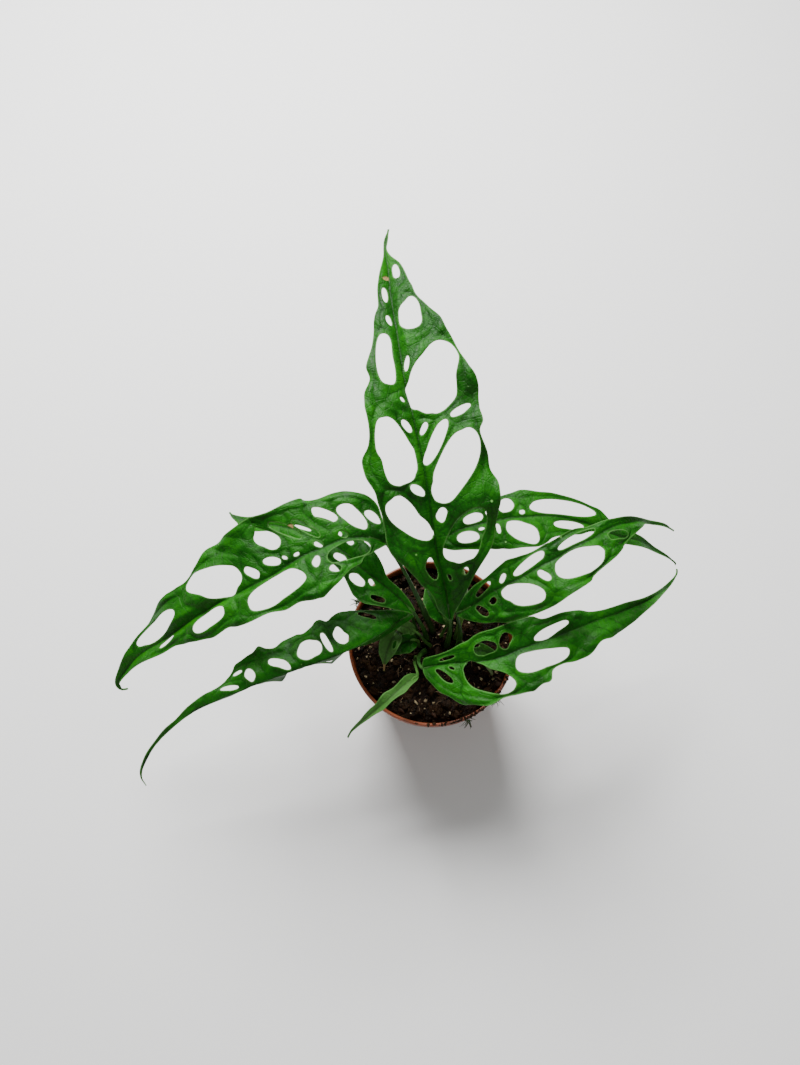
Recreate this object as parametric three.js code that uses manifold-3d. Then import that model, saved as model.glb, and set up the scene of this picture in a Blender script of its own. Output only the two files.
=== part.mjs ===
// Potted monstera obliqua: a plastic nursery pot, its soil, and a young climbing aroid with large
// perforated leaves, a few small ones, one rolled new leaf and one short aerial root.
// Units are millimetres, +Z is up, and the origin is the middle of the pot's underside.

import * as THREE from 'three';
import { mergeVertices } from 'three/addons/utils/BufferGeometryUtils.js';
import Module from 'manifold-3d';

const wasm = await Module();
wasm.setup();

// Driving dimensions of the pot and its soil

const POT_HEIGHT = 92;
const RIM_RADIUS = 52.5;
const COLLAR_BOTTOM = 81;
const COLLAR_STEP = 2.2;
const BASE_RADIUS = 38;
const WALL = 1.6;
const COLLAR_WALL = 1.9;
const LOWER_WALL = 1.3;
const FLOOR = 2;
const BASE_CHAMFER = 1;
const LIP_ROUND = 1;
const POT_SIDES = 48;
const DRAIN_HOLES = 8;
const DRAIN_HOLE_RADIUS = 4;
const DRAIN_RING_RADIUS = 28;
const DRAIN_HOLE_SIDES = 16;

const SOIL_TOP = 84;
const SOIL_SHOULDER = 80;
const SOIL_CHAMFER = 1.5;
const SOIL_RINGS = [43, 37, 30, 23, 16, 9, 4];
const STEM_HOLE_SIDES = 12;
const FIT_GAP = 0.3;

// Heaps of the soil's top: height, turn per millimetre along x and along y, and start, in radians
const SOIL_HEAPS = [
  [1.1, 0.31, 0.05, 1.1],
  [0.9, -0.06, 0.27, 0.4],
  [0.8, 0.53, -0.47, 0],
];

// Driving dimensions shared by the leaves

const BLADE_THICKNESS = 0.8;
const RIB_DEPTH = 0.9;
const RIB_HALF_WIDTH = 1.6;
const EDGE_STEP = 4;
const EDGE_ROOM = 3.8;
const INNER_STEP = 9;
const RIB_STEP = 7;
const RIB_ROW = 2.4;
const RIB_ROOM = { middle: 1, side: 1.8 };
const WIDEST_HALF = 45;
const MOST_FLIP_PASSES = 200;
const PETIOLE_SIDES = 7;
const PETIOLE_STEP = 6;
const PETIOLE_END_RADIUS = 0.8;
const PETIOLE_SINK = 0.6;
const PETIOLE_UNDER_BLADE = [0, 5, 11];
const FOOT_DEPTH = 16;
const FOOT_STRAIGHT = 3;
const FOOT_CLEARANCE = 0.6;
const HOLE_SQUARENESS = 2.3;
const HOLE_SIDES = { least: 6, most: 36 };
const WAVE_LAG = 0.37;

// Every leaf is drawn on its own plan: the first number of a pair runs along the midrib from the
// base of the blade, the second runs across it, positive to the left when looking at the tip.
//   foot     where the petiole leaves the soil, [x, y]
//   petiole  points between the soil and the blade, [x, y, z]
//   midrib   points from the blade's base to the end of its drip tip, [x, y, z]
//   lift     angle of each half of the blade above the level, in degrees, by distance along
//   wave     height, number and start (in turns) of the swells along the margins
//   left, right   the two margins as [along, across] points from base to tip
//   holes    rounded perforations, [along, across, length, width, lean in degrees, taper], where the
//            taper widens the far end when positive and the near end when negative

const LEAVES = {
  leaf_upright: {
    foot: [9.5, -1.5],
    petiole: [[10, 0, 101], [10, 2, 116]],
    midrib: [
      [9, 5, 130], [6, 18, 146], [1, 34, 160], [-3, 55, 175], [-7, 77, 186], [-13, 103, 195],
      [-18, 125, 200], [-21, 147, 201], [-25, 175, 200], [-27, 198, 197], [-29, 216, 194], [-27, 235, 189],
    ],
    lift: { left: [[0, 8]], right: [[0, 8]] },
    wave: [2.8, 7, 0],
    left: [
      [0, 1.5], [6, 4.5], [13, 7.5], [19, 8.5], [25, 10.5], [30, 14], [36, 16.5], [42, 20], [48, 25],
      [54, 27.5], [62, 27.5], [70, 27.5], [78, 29], [86, 30.5], [94, 33.5], [103, 32.5], [111, 28],
      [120, 26], [132, 25.5], [139, 24], [145, 19.5], [151, 20.5], [157, 18], [164, 15.4], [174, 13],
      [184, 11], [191, 8.5], [202, 7.7], [212, 6], [221, 4], [230, 1.5], [237, 0.9], [246, 1.1], [257, 0],
    ],
    right: [
      [0, -1.5], [7, -4.5], [14, -9.5], [22, -14.5], [30, -21.5], [38, -28.5], [46, -32.5], [56, -34.5],
      [64, -37.5], [70, -39.5], [78, -39], [86, -36], [95, -35.5], [105, -34], [110, -37], [117, -36.5],
      [124, -37.5], [130, -39], [137, -37.8], [143, -36], [152, -33.6], [162, -30.2], [171, -27.2],
      [180, -23.2], [187, -18.6], [194, -14.8], [203, -12], [213, -10], [221, -7.5], [229, -3], [237, -1],
      [246, -1.1], [257, 0],
    ],
    holes: [
      [36.5, 5.5, 13, 6, 8, 0], [66, 13, 33, 14, 40, 0.1], [81, 6.3, 10, 4.8, 52, 0],
      [104.5, 14.9, 38, 20, 9, -0.2], [116.5, 5.1, 8.5, 3.8, 32, 0], [131.5, 4, 3.4, 2, 30, 0],
      [155.5, 9.2, 31.5, 10.4, -3, -0.12], [180.5, 3.6, 7, 3, 10, 0], [198.5, 3.6, 11, 3.6, 0, 0],
      [28.5, -3.8, 4, 2, 10, 0], [30, -13.5, 5, 3.2, -30, 0], [51.4, -17.2, 35, 19, -33, 0],
      [65.7, -5.7, 8.6, 5.6, -25, 0], [90.2, -17.3, 42.5, 19.6, -37, 0], [104.6, -9.2, 27, 7.2, -38, 0],
      [113.4, -4.4, 7.5, 3.4, -38, 0], [118.3, -26, 12.5, 4.8, -72, 0], [141, -16.6, 44.5, 26, -27, -0.12],
      [151.8, -2.9, 9, 3, -14, 0], [183, -9.6, 22.5, 12.6, -9, -0.3], [215.5, -4.6, 11.5, 4.4, 3, -0.2],
    ],
  },
  leaf_left: {
    foot: [0.5, 7.5],
    petiole: [[-3.5, 11.5, 104], [-10, 20, 125], [-19.5, 32.5, 145]],
    midrib: [
      [-28, 44, 152], [-38, 46, 156], [-51, 44, 159], [-64, 38, 160], [-76, 33, 159], [-90, 25, 155],
      [-109, 17, 148], [-135, 7, 134], [-160, -4, 116], [-179, -11, 102], [-190, -19, 91], [-196, -25, 84],
      [-195, -28, 80], [-191, -27, 77],
    ],
    lift: { left: [[0, 0]], right: [[0, 6]] },
    wave: [2.6, 7, 0.3],
    left: [
      [0, 1.5], [4, 6], [9, 10], [15, 12.5], [19, 16.5], [26, 19], [34, 21], [41, 25], [49, 27],
      [57, 26.5], [64, 22.5], [71, 22], [80, 19.5], [90, 20], [100, 18.5], [108, 15.7], [119, 16],
      [128, 14], [139, 11], [148, 8], [160, 7.8], [170, 7], [182, 5], [194, 3], [205, 1.5], [212, 0.8],
      [218, 0],
    ],
    right: [
      [0, -1.5], [2, -7], [6, -12.5], [9, -20], [13, -25], [20, -27.5], [28, -28], [36, -30.5],
      [45, -31.5], [54, -31.5], [62, -34.5], [72, -35.5], [84, -34], [96, -33], [105, -30.5], [113, -25.5],
      [121, -22.5], [129, -21.3], [139, -22], [149, -20.5], [158, -17.2], [164, -13.6], [172, -10.8],
      [181, -7.4], [194, -4.7], [205, -2.5], [212, -1], [218, 0],
    ],
    holes: [
      [24.3, 7.6, 28, 11, 4, 0], [36.8, 14.9, 6, 4, -45, 0], [44.2, 6.9, 7, 4.2, 65, 0],
      [72, 9.6, 35.5, 15, 2, 0], [116.5, 6.3, 25, 9, 5, 0.1], [152.5, 2.8, 13.5, 3.2, 6, 0],
      [9.9, -12, 8.8, 4.4, -50, 0], [18.4, -12, 18.5, 8, -55, 0], [30.3, -17.4, 14.5, 6, -52, 0],
      [25, -2.9, 5, 3.2, -35, 0], [40, -2.9, 6, 3.4, -35, 0], [42.8, -13.5, 18, 4.4, -52, 0],
      [53, -2.3, 3.4, 2, 0, 0], [52.4, -18, 19, 4.2, -60, 0], [63.9, -19.8, 20, 10.6, -52, 0],
      [59.3, -4.2, 3.4, 2, -50, 0], [67.2, -6.6, 11.5, 5.2, -30, 0], [81.2, -6.6, 10.5, 5.2, -50, 0],
      [105.8, -12.2, 37.5, 17.5, -19, -0.15], [156.5, -7.2, 40, 10, 6, -0.15],
    ],
  },
  leaf_left_under: {
    foot: [-3.5, 1.5],
    petiole: [[-5, 4, 102], [-9, 7.5, 116]],
    midrib: [
      [-12, 10, 124], [-21, 18, 129], [-33, 27, 133], [-44, 35, 136], [-57, 46, 137], [-73, 55, 134],
      [-93, 63, 128], [-111, 68, 120], [-125, 76, 112], [-131, 82, 107],
    ],
    lift: { left: [[0, 0]], right: [[0, 4]] },
    wave: [1.6, 5, 0.6],
    left: [
      [0, 1.5], [5, 4], [12, 8], [20, 12.5], [27, 16], [34, 16], [40, 13.5], [46, 10.5], [54, 9.5],
      [64, 10], [74, 9], [84, 6], [96, 4.5], [106, 4.5], [116, 5.5], [126, 6], [134, 3.2], [142, 1.4],
      [149, 0],
    ],
    right: [
      [0, -1.5], [7, -3.2], [16, -4.2], [25, -5], [32, -8.5], [40, -12], [50, -12.5], [60, -12.5],
      [70, -12.5], [78, -12.3], [86, -11], [96, -9.5], [106, -9], [115, -7], [125, -3.6], [135, -1.8],
      [142, -1], [149, 0],
    ],
    holes: [
      [22, 9, 9, 3.6, 20, 0], [31, 3.4, 5, 3, -20, 0], [38.5, 7.5, 10, 5.6, 4, 0], [54, 4, 9, 4.6, 10, 0],
      [56.5, -7, 6, 3.4, 0, 0], [65, -7.4, 7, 3.6, 0, 0], [70, 4.6, 8, 3.2, -12, 0],
      [80, -6.6, 10, 3.4, -8, 0], [86, -2.6, 12, 2, 0, 0],
    ],
  },
  leaf_folded: {
    foot: [-9.5, 5],
    petiole: [[-11, 8.5, 99]],
    midrib: [
      [-13, 12, 111], [-21, 6, 118], [-32, -4, 126], [-49, -14, 131], [-70, -22, 131], [-83, -26, 128],
      [-107, -33, 119], [-139, -43, 103], [-156, -52, 92], [-170, -62, 80], [-179, -73, 70],
      [-181, -80, 66], [-178, -86, 63],
    ],
    lift: {
      left: [
        [0, -50], [25, -92], [50, -108], [62, -90], [76, -108], [90, -108], [99, -92], [112, -108],
        [160, -95],
      ],
      right: [[0, -10]],
    },
    wave: [1, 9, 0.2],
    left: [
      [0, 1.5], [6, 3.5], [14, 5.5], [24, 8], [34, 13], [45, 15.5], [56, 15], [64, 18], [72, 14.5],
      [82, 14], [92, 13], [99, 15.5], [107, 11], [118, 9.5], [130, 7], [142, 4.5], [155, 2.5], [175, 1.4],
      [205, 1], [224, 0],
    ],
    right: [
      [0, -1.5], [6, -4], [14, -9.5], [23, -16], [32, -20.5], [42, -23.5], [50, -23], [56, -21.5],
      [61, -24], [67, -21], [72, -19.5], [78, -20.5], [86, -19.5], [92, -17], [97, -18], [102, -21.5],
      [107, -18.5], [113, -16.5], [119, -15.5], [122, -12.5], [128, -8.8], [136, -6.8], [146, -5.8],
      [156, -4], [170, -2.8], [190, -2.2], [210, -1], [224, 0],
    ],
    holes: [
      [51, -9.8, 11.5, 8.4, -75, 0], [60.7, -8.9, 13.5, 3.8, -78, 0], [71.5, -8.4, 15.5, 11.6, -10, 0],
      [90.5, -6, 14.5, 5, -33, 0], [110, -5.8, 8.5, 6, -50, 0], [125.8, -3.4, 12.5, 2.6, -10, 0],
      [118.4, -10, 7, 2.2, 4, 0], [46, 8.5, 11, 6, 15, 0], [68, 8, 15, 6, -8, 0], [88, 7, 9, 5, 0, 0],
      [103, 6, 8, 3.6, -15, 0], [28, -13.6, 13.5, 4.4, -41, 0.1],
    ],
  },
  leaf_right_rear: {
    foot: [11.5, 6.5],
    petiole: [[11.5, 11, 100], [11, 21, 115], [6, 35, 131]],
    midrib: [
      [0, 48, 138], [9, 52, 143], [21, 56, 147], [39, 59, 150], [56, 61, 150], [74, 62, 147],
      [94, 60, 139], [111, 57, 129], [129, 57, 118], [145, 54, 106], [156, 51, 98], [159, 48, 95],
    ],
    lift: { left: [[0, 0]], right: [[0, -3]] },
    wave: [1.4, 6, 0.1],
    left: [
      [0, 1.5], [3, 5], [9, 6.5], [17, 8], [25, 10.5], [34, 12.5], [43, 14], [52, 15.5], [61, 16],
      [68, 14.5], [77, 14.3], [88, 13.2], [98, 12], [105, 11], [111, 8], [119, 6], [130, 5], [140, 3.2],
      [152, 1.7], [166, 1], [181, 0],
    ],
    right: [
      [0, -1.5], [4, -5], [9, -9], [16, -12], [25, -14.5], [34, -17], [44, -18.6], [54, -19.5], [61, -19],
      [67, -16.5], [75, -13], [84, -10.5], [93, -8], [100, -4.4], [108, -3.4], [118, -4.2], [130, -4.4],
      [142, -4.2], [153, -2.4], [166, -1], [181, 0],
    ],
    holes: [
      [27.3, 3.6, 11.4, 5.4, 4, 0], [37.4, 6.2, 6.3, 4, 40, 0], [46.8, 7.6, 9.5, 8.6, 40, 0],
      [55.4, 2.6, 3.4, 2.6, 0, 0], [81, 6.3, 42, 9, 3, -0.05], [21.5, -6.3, 14, 7, -14, 0],
      [30.6, -3.6, 3.6, 2, 0, 0], [40.2, -5.4, 6.5, 2.6, -85, 0], [53.8, -9.8, 20.5, 11.6, -36, 0],
      [84.4, -4.2, 21.5, 5.4, 7, 0],
    ],
  },
  leaf_right_middle: {
    foot: [16, -3.5],
    petiole: [[17, 0, 99], [16, 4, 112]],
    midrib: [
      [14, 9, 124], [24, 13, 133], [32, 17, 142], [43, 21, 149], [50, 24, 152], [58, 28, 156],
      [68, 33, 158], [78, 39, 159], [89, 44, 159], [101, 52, 156], [114, 57, 151], [128, 61, 143],
      [140, 62, 134], [150, 61, 126],
    ],
    lift: { left: [[0, 8]], right: [[0, -4]] },
    wave: [2.2, 6, 0.4],
    left: [
      [0, 1.5], [5, 4.5], [12, 7.5], [20, 8.8], [28, 8.8], [36, 10.8], [45, 12.2], [52, 11], [59, 9.4],
      [68, 9.6], [77, 9.2], [86, 9.2], [95, 7.6], [103, 6], [112, 4.2], [124, 3], [136, 1.6], [148, 1.2],
      [158, 0.9], [166, 0],
    ],
    right: [
      [0, -1.5], [5, -6], [12, -11.5], [20, -16], [29, -18.8], [38, -20.5], [47, -22], [55, -22.8],
      [64, -23.2], [74, -22], [84, -19.6], [94, -16.2], [103, -14.8], [110, -12.4], [118, -9.2],
      [127, -5.2], [136, -1.8], [148, -1.1], [158, -0.9], [166, 0],
    ],
    holes: [
      [37.4, 4.2, 6.4, 3, 38, 0], [54.5, 4.6, 21.5, 5.4, 8, 0.1], [43.8, -9, 24, 12, -34, 0],
      [59, -5.6, 9, 4.4, -62, 0], [79.6, -8.8, 29, 15.6, -5, 0], [85.5, 3.7, 25, 4.6, 1, 0],
      [108.5, -5.8, 14.5, 5.4, -12, -0.1], [16.5, -6, 9.5, 4.4, -62, 0.1], [26.4, -4.9, 5.4, 3.8, 0, 0],
      [24, 4, 12.5, 3.4, 13, 0.1],
    ],
  },
  leaf_right_front: {
    foot: [-4.5, -5.5],
    petiole: [[-8, -11, 97], [-8.5, -17, 106]],
    midrib: [
      [-6, -21, 112], [3, -20, 118], [15, -20, 124], [26, -20, 128], [38, -18, 131], [51, -13, 133],
      [68, -7, 133], [83, -1, 131], [97, 5, 127], [114, 12, 121], [132, 21, 112], [147, 32, 103],
      [157, 42, 97], [159, 48, 94],
    ],
    lift: { left: [[0, 20], [60, 16], [90, 8], [120, 0]], right: [[0, 0]] },
    wave: [2.6, 6, 0.7],
    left: [
      [0, 1.5], [3, 5.5], [8, 6], [13, 6.5], [20, 8.5], [27, 11.5], [34, 14.5], [42, 17], [50, 17.5],
      [58, 16.5], [66, 15.8], [73, 15.5], [78, 12.4], [86, 12], [94, 11], [101, 9.4], [108, 6], [116, 4.6],
      [126, 4.2], [138, 3.4], [150, 2.2], [165, 1.4], [182, 0.9], [196, 0],
    ],
    right: [
      [0, -1.5], [2, -7], [6, -12], [11, -16.5], [17, -19.5], [24, -23], [32, -25], [39, -25.2],
      [45, -22.5], [51, -23], [58, -24.8], [65, -23.6], [69.5, -23], [73, -17.5], [80, -16], [89, -17.2],
      [98, -16], [107, -12.5], [118, -11.8], [128, -9.5], [139, -6.8], [150, -4.5], [165, -2.4],
      [182, -1.3], [196, 0],
    ],
    holes: [
      [41.2, 7.4, 14.5, 8, 5, 0], [54.3, 8.2, 9.5, 7, 50, 0], [14.7, -7.2, 13.5, 3.8, -38, 0],
      [38.5, -10.4, 28, 13.4, -37, 0], [69.2, -9.6, 31.5, 11, -5, -0.15], [80.6, 4, 22.5, 5.8, 8, 0],
      [19.5, -3, 4, 1.6, -25, 0], [17, 3.5, 10, 2.2, 12, 0],
    ],
  },
  leaf_young_twisted: {
    foot: [-10, -9.5],
    petiole: [[-11, -14.5, 96], [-10, -19.5, 101]],
    midrib: [
      [-9.5, -24, 105], [-15, -28.5, 110], [-21, -34, 113], [-27.5, -40, 113], [-35, -45.5, 108],
      [-42.5, -50.5, 101], [-49, -55, 93], [-52, -59, 87],
    ],
    lift: { left: [[0, 25], [60, 45]], right: [[0, 25], [60, 10]] },
    wave: [0.8, 4, 0],
    left: [
      [0, 1.2], [5, 3.2], [11, 3.4], [18, 4.6], [25, 3], [32, 3.4], [40, 2.4], [48, 1.5], [58, 0.8], [70, 0],
    ],
    right: [
      [0, -1.2], [5, -3.4], [12, -4], [19, -3.2], [26, -4.4], [33, -3], [41, -2.6], [49, -1.4], [58, -0.8],
      [70, 0],
    ],
    holes: [],
  },
  leaf_young_drooping: {
    foot: [-15.5, 1.5],
    petiole: [[-18, 3, 96]],
    midrib: [[-21, 3, 104], [-25, -3, 109], [-28, -10, 107], [-29.5, -16, 100], [-30, -20, 93]],
    lift: { left: [[0, 10]], right: [[0, 10]] },
    wave: [0.7, 3, 0.2],
    left: [[0, 1.2], [4, 4.6], [10, 6], [17, 4.8], [23, 2.4], [30, 0]],
    right: [[0, -1.2], [4, -4.6], [10, -6], [17, -4.8], [23, -2.4], [30, 0]],
    holes: [[11, 3, 5, 2.4, 12, 0]],
  },
  leaf_young_low: {
    foot: [-8, -1.5],
    petiole: [[-8.2, -1.2, 92]],
    midrib: [[-9, -1, 97], [-13, -1.5, 100.5], [-18, -3.5, 101], [-23, -6.5, 98], [-27, -10, 93]],
    lift: { left: [[0, 15]], right: [[0, 15]] },
    wave: [0.7, 3, 0.5],
    left: [[0, 1.2], [3, 4.4], [8, 7.2], [14, 6.2], [19, 3.2], [24, 0]],
    right: [[0, -1.2], [3, -3], [8, -5], [14, -4.4], [19, -2.4], [24, 0]],
    holes: [],
  },
  leaf_young_centre: {
    foot: [-1, -2],
    petiole: [[-4, -1.2, 94], [-8, 1.5, 102]],
    midrib: [[-10.5, 3, 104], [-14, 4.4, 107], [-18, 5.4, 108], [-21.5, 6, 107.5], [-24.5, 6.4, 106]],
    lift: { left: [[0, 20]], right: [[0, 15]] },
    wave: [0.9, 3, 0.3],
    left: [[0, 1.2], [3, 3.8], [7, 4.8], [11, 4], [14, 2], [16.5, 0]],
    right: [[0, -1.2], [3, -2.8], [7, -3.6], [11, -3], [14, -1.5], [16.5, 0]],
    holes: [],
  },
  leaf_young_rear: {
    foot: [6, 4],
    petiole: [[7.5, 6, 95]],
    midrib: [
      [9, 8.5, 102], [6.5, 11.5, 106], [3, 15.5, 109], [0, 20.5, 110.5], [-2.5, 26, 110], [-4, 31, 108],
    ],
    lift: { left: [[0, 5]], right: [[0, 15]] },
    wave: [0.8, 3, 0.6],
    left: [[0, 1.2], [4, 3.8], [9, 6], [14, 6.2], [19, 5.4], [24, 2.8], [29, 0]],
    right: [[0, -1.2], [4, -2.8], [9, -4.6], [14, -5.6], [19, -5], [24, -2.6], [29, 0]],
    holes: [],
  },
  leaf_young_right: {
    foot: [10, -8.5],
    petiole: [[12, -8.4, 92]],
    midrib: [[15, -8, 96], [21, -8, 100], [28, -8, 101], [36, -9, 99], [43, -11, 95]],
    lift: { left: [[0, 12]], right: [[0, 12]] },
    wave: [0.8, 3, 0.1],
    left: [[0, 1.2], [3, 4], [9, 5.6], [16, 4.6], [23, 2.4], [30, 0]],
    right: [[0, -1.2], [3, -4], [9, -5.8], [16, -5], [23, -2.6], [30, 0]],
    holes: [[12, 2.8, 6, 2.2, 8, 0]],
  },
};

// Radii of a petiole in the soil and where it meets the blade

const LARGE_LEAF_PETIOLE = { foot: 1.8, neck: 1.1 };
const YOUNG_LEAF_PETIOLE = { foot: 1.3, neck: 0.8 };

// The rolled new leaf is a slim spear; the aerial root leaves the middle right leaf's petiole.

const SPEAR = {
  foot: [15.5, 3.5],
  path: [[17, 9, 100], [19, 17, 115], [18, 26, 130], [16, 34, 142]],
  radii: [1.6, 1.6, 1.6, 1.7, 2.3, 2.2, 0.4],
  step: 5,
};
const AERIAL_ROOT = {
  leaf: 'leaf_right_middle',
  foot: [37, -19],
  path: [[17, -1, 95], [22, -4, 94], [29, -10, 92]],
  radius: 1.1,
  endRadius: 0.9,
  depth: 6,
  step: 4,
};

// Colours read from the plant: fresh green above, paler where new, terracotta plastic, dark peat

const FINISHES = {
  leaf: { color: 0x2f7a1e, roughness: 0.45 },
  young: { color: 0x6f9f4a, roughness: 0.4 },
  pot: { color: 0x8a3f28, roughness: 0.5 },
  soil: { color: 0x1f1611, roughness: 0.95 },
};

// Small helpers

const vector = ([x, y, z]) => new THREE.Vector3(x, y, z);
const clamp = (value, low, high) => Math.min(Math.max(value, low), high);

// Straight-line value of a list of [place, value] pairs
function interpolate(pairs, place) {
  const next = pairs.findIndex(([at]) => at >= place);
  if (next === 0) return pairs[0][1];
  if (next < 0) return pairs.at(-1)[1];
  const [from, low] = pairs[next - 1];
  const [to, high] = pairs[next];
  return low + (high - low) * (place - from) / (to - from);
}

// Solid of a closed mesh, and a mesh's geometry from a solid
function toSolid(geometry) {
  geometry.deleteAttribute('normal');
  geometry.deleteAttribute('uv');
  const merged = mergeVertices(geometry, 1e-4);
  return new wasm.Manifold(new wasm.Mesh({
    numProp: 3,
    vertProperties: new Float32Array(merged.attributes.position.array),
    triVerts: new Uint32Array(merged.index.array),
  }));
}

function toGeometry(solid) {
  const mesh = solid.getMesh();
  const geometry = new THREE.BufferGeometry();
  geometry.setAttribute('position', new THREE.BufferAttribute(mesh.vertProperties, 3));
  geometry.setIndex(new THREE.BufferAttribute(mesh.triVerts, 1));
  geometry.computeVertexNormals();
  return geometry;
}

function bufferGeometry(points, triangles) {
  const geometry = new THREE.BufferGeometry();
  const numbers = points.flatMap((point) => point.toArray());
  geometry.setAttribute('position', new THREE.Float32BufferAttribute(numbers, 3));
  geometry.setIndex(triangles.flat());
  return geometry;
}

// Round stem along a smooth path, its radius following the list of radii, with closed ends
function stem(path, radii, step) {
  const curve = new THREE.CatmullRomCurve3(path, false, 'catmullrom', 0.5);
  const steps = Math.ceil(curve.getLength() / step);
  const frames = curve.computeFrenetFrames(steps, false);
  const radiusPairs = radii.map((radius, i) => [i / (radii.length - 1), radius]);
  const points = [];
  const triangles = [];
  for (let i = 0; i <= steps; i += 1) {
    const centre = curve.getPointAt(i / steps);
    const radius = interpolate(radiusPairs, i / steps);
    for (let j = 0; j < PETIOLE_SIDES; j += 1) {
      const angle = 2 * Math.PI * j / PETIOLE_SIDES;
      points.push(centre.clone()
        .addScaledVector(frames.normals[i], radius * Math.cos(angle))
        .addScaledVector(frames.binormals[i], radius * Math.sin(angle)));
    }
  }
  const at = (i, j) => i * PETIOLE_SIDES + j % PETIOLE_SIDES;
  for (let i = 0; i < steps; i += 1) {
    for (let j = 0; j < PETIOLE_SIDES; j += 1) {
      triangles.push([at(i, j), at(i, j + 1), at(i + 1, j + 1)]);
      triangles.push([at(i, j), at(i + 1, j + 1), at(i + 1, j)]);
    }
  }
  for (let j = 1; j < PETIOLE_SIDES - 1; j += 1) {
    triangles.push([at(0, 0), at(0, j + 1), at(0, j)], [at(steps, 0), at(steps, j), at(steps, j + 1)]);
  }
  return bufferGeometry(points, triangles);
}

// The upright start of anything that stands in the soil
function footPoints([x, y], depth) {
  return [
    vector([x, y, SOIL_TOP - depth]),
    vector([x, y, SOIL_TOP - depth / 2]),
    vector([x, y, SOIL_TOP + FOOT_STRAIGHT]),
  ];
}

// A leaf blade as a surface over its plan

function leafSurface(leaf) {
  const curve = new THREE.CatmullRomCurve3(leaf.midrib.map(vector), false, 'catmullrom', 0.5);
  const length = curve.getLength();
  const margins = [...leaf.left, ...leaf.right];
  const reach = Math.max(...margins.map(([, across]) => Math.abs(across)));
  const [height, count, start] = leaf.wave;
  const up = new THREE.Vector3(0, 0, 1);

  function point(along, across) {
    const inside = clamp(along, 0, length);
    const forward = curve.getTangentAt(inside / length);
    const sideways = up.clone().cross(forward).normalize();
    const upward = forward.clone().cross(sideways);
    const side = across >= 0 ? 1 : -1;
    const lifts = across >= 0 ? leaf.lift.left : leaf.lift.right;
    const lift = THREE.MathUtils.degToRad(interpolate(lifts, inside));
    const swell = height * (across / reach) ** 2
      * Math.sin(2 * Math.PI * (count * inside / length + start + (side < 0 ? WAVE_LAG : 0)));
    return curve.getPointAt(inside / length)
      .addScaledVector(forward, along - inside)
      .addScaledVector(sideways, across * Math.cos(lift) - side * swell * Math.sin(lift))
      .addScaledVector(upward, Math.abs(across) * Math.sin(lift) + swell * Math.cos(lift));
  }
  return { point, length };
}

// Smooth closed outline of the blade from its two margins
function bladeOutline(leaf) {
  const sample = (margin) => {
    const curve = new THREE.SplineCurve(margin.map(([along, across]) => new THREE.Vector2(along, across)));
    return curve.getSpacedPoints(Math.ceil(curve.getLength() / EDGE_STEP));
  };
  const left = sample(leaf.left);
  const right = sample(leaf.right);
  right.pop();
  return [...right, ...left.reverse()];
}

// A perforation: an ellipse made a little square, widened to one end and turned by its lean
function holeOutline([along, across, long, wide, lean, taper]) {
  const turn = THREE.MathUtils.degToRad(lean);
  const around = Math.PI * (long + wide) / 2;
  const steps = clamp(Math.round(around / EDGE_STEP), HOLE_SIDES.least, HOLE_SIDES.most);
  const squared = (value) => Math.sign(value) * Math.abs(value) ** (2 / HOLE_SQUARENESS);
  return Array.from({ length: steps }, (_, i) => {
    const angle = 2 * Math.PI * i / steps;
    const p = long / 2 * squared(Math.cos(angle));
    const q = wide / 2 * squared(Math.sin(angle)) * (1 + taper * squared(Math.cos(angle)));
    return new THREE.Vector2(
      along + p * Math.cos(turn) - q * Math.sin(turn),
      across + p * Math.sin(turn) + q * Math.cos(turn),
    );
  });
}

function isInside(point, loop) {
  let inside = false;
  loop.forEach((a, i) => {
    const b = loop[(i + 1) % loop.length];
    const crosses = (a.y > point.y) !== (b.y > point.y);
    if (crosses && point.x < a.x + (b.x - a.x) * (point.y - a.y) / (b.y - a.y)) inside = !inside;
  });
  return inside;
}

// Inner points of the plan: three rows that carry the midrib, and a staggered field elsewhere
function innerPoints(loops, length) {
  const edge = loops.flat();
  const fits = (point, room) => isInside(point, loops[0])
    && !loops.slice(1).some((loop) => isInside(point, loop))
    && !edge.some((other) => other.distanceTo(point) < room);
  const points = [];
  for (let along = RIB_STEP / 2; along < length; along += RIB_STEP) {
    [0, RIB_ROW, -RIB_ROW].forEach((across) => {
      const point = new THREE.Vector2(along, across);
      if (fits(point, across === 0 ? RIB_ROOM.middle : RIB_ROOM.side)) points.push(point);
    });
  }
  const rib = points.length;
  let shifted = false;
  for (let across = INNER_STEP; across < WIDEST_HALF; across += INNER_STEP) {
    for (let along = 0; along < length; along += INNER_STEP) {
      [1, -1].forEach((side) => {
        const point = new THREE.Vector2(along + (shifted ? INNER_STEP / 2 : 0), side * across);
        const clear = points.slice(0, rib).every((other) => other.distanceTo(point) > INNER_STEP / 2);
        if (clear && fits(point, EDGE_ROOM)) points.push(point);
      });
    }
    shifted = !shifted;
  }
  return points;
}

// Twice the signed area of a triangle in the plan
const area = (a, b, c) => (b.x - a.x) * (c.y - a.y) - (c.x - a.x) * (b.y - a.y);

// Positive when d lies inside the circle through a, b and c
function inCircle(a, b, c, d) {
  const rows = [a, b, c].map((p) => [p.x - d.x, p.y - d.y, (p.x - d.x) ** 2 + (p.y - d.y) ** 2]);
  return rows[0][0] * (rows[1][1] * rows[2][2] - rows[1][2] * rows[2][1])
    - rows[0][1] * (rows[1][0] * rows[2][2] - rows[1][2] * rows[2][0])
    + rows[0][2] * (rows[1][0] * rows[2][1] - rows[1][1] * rows[2][0]);
}

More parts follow.
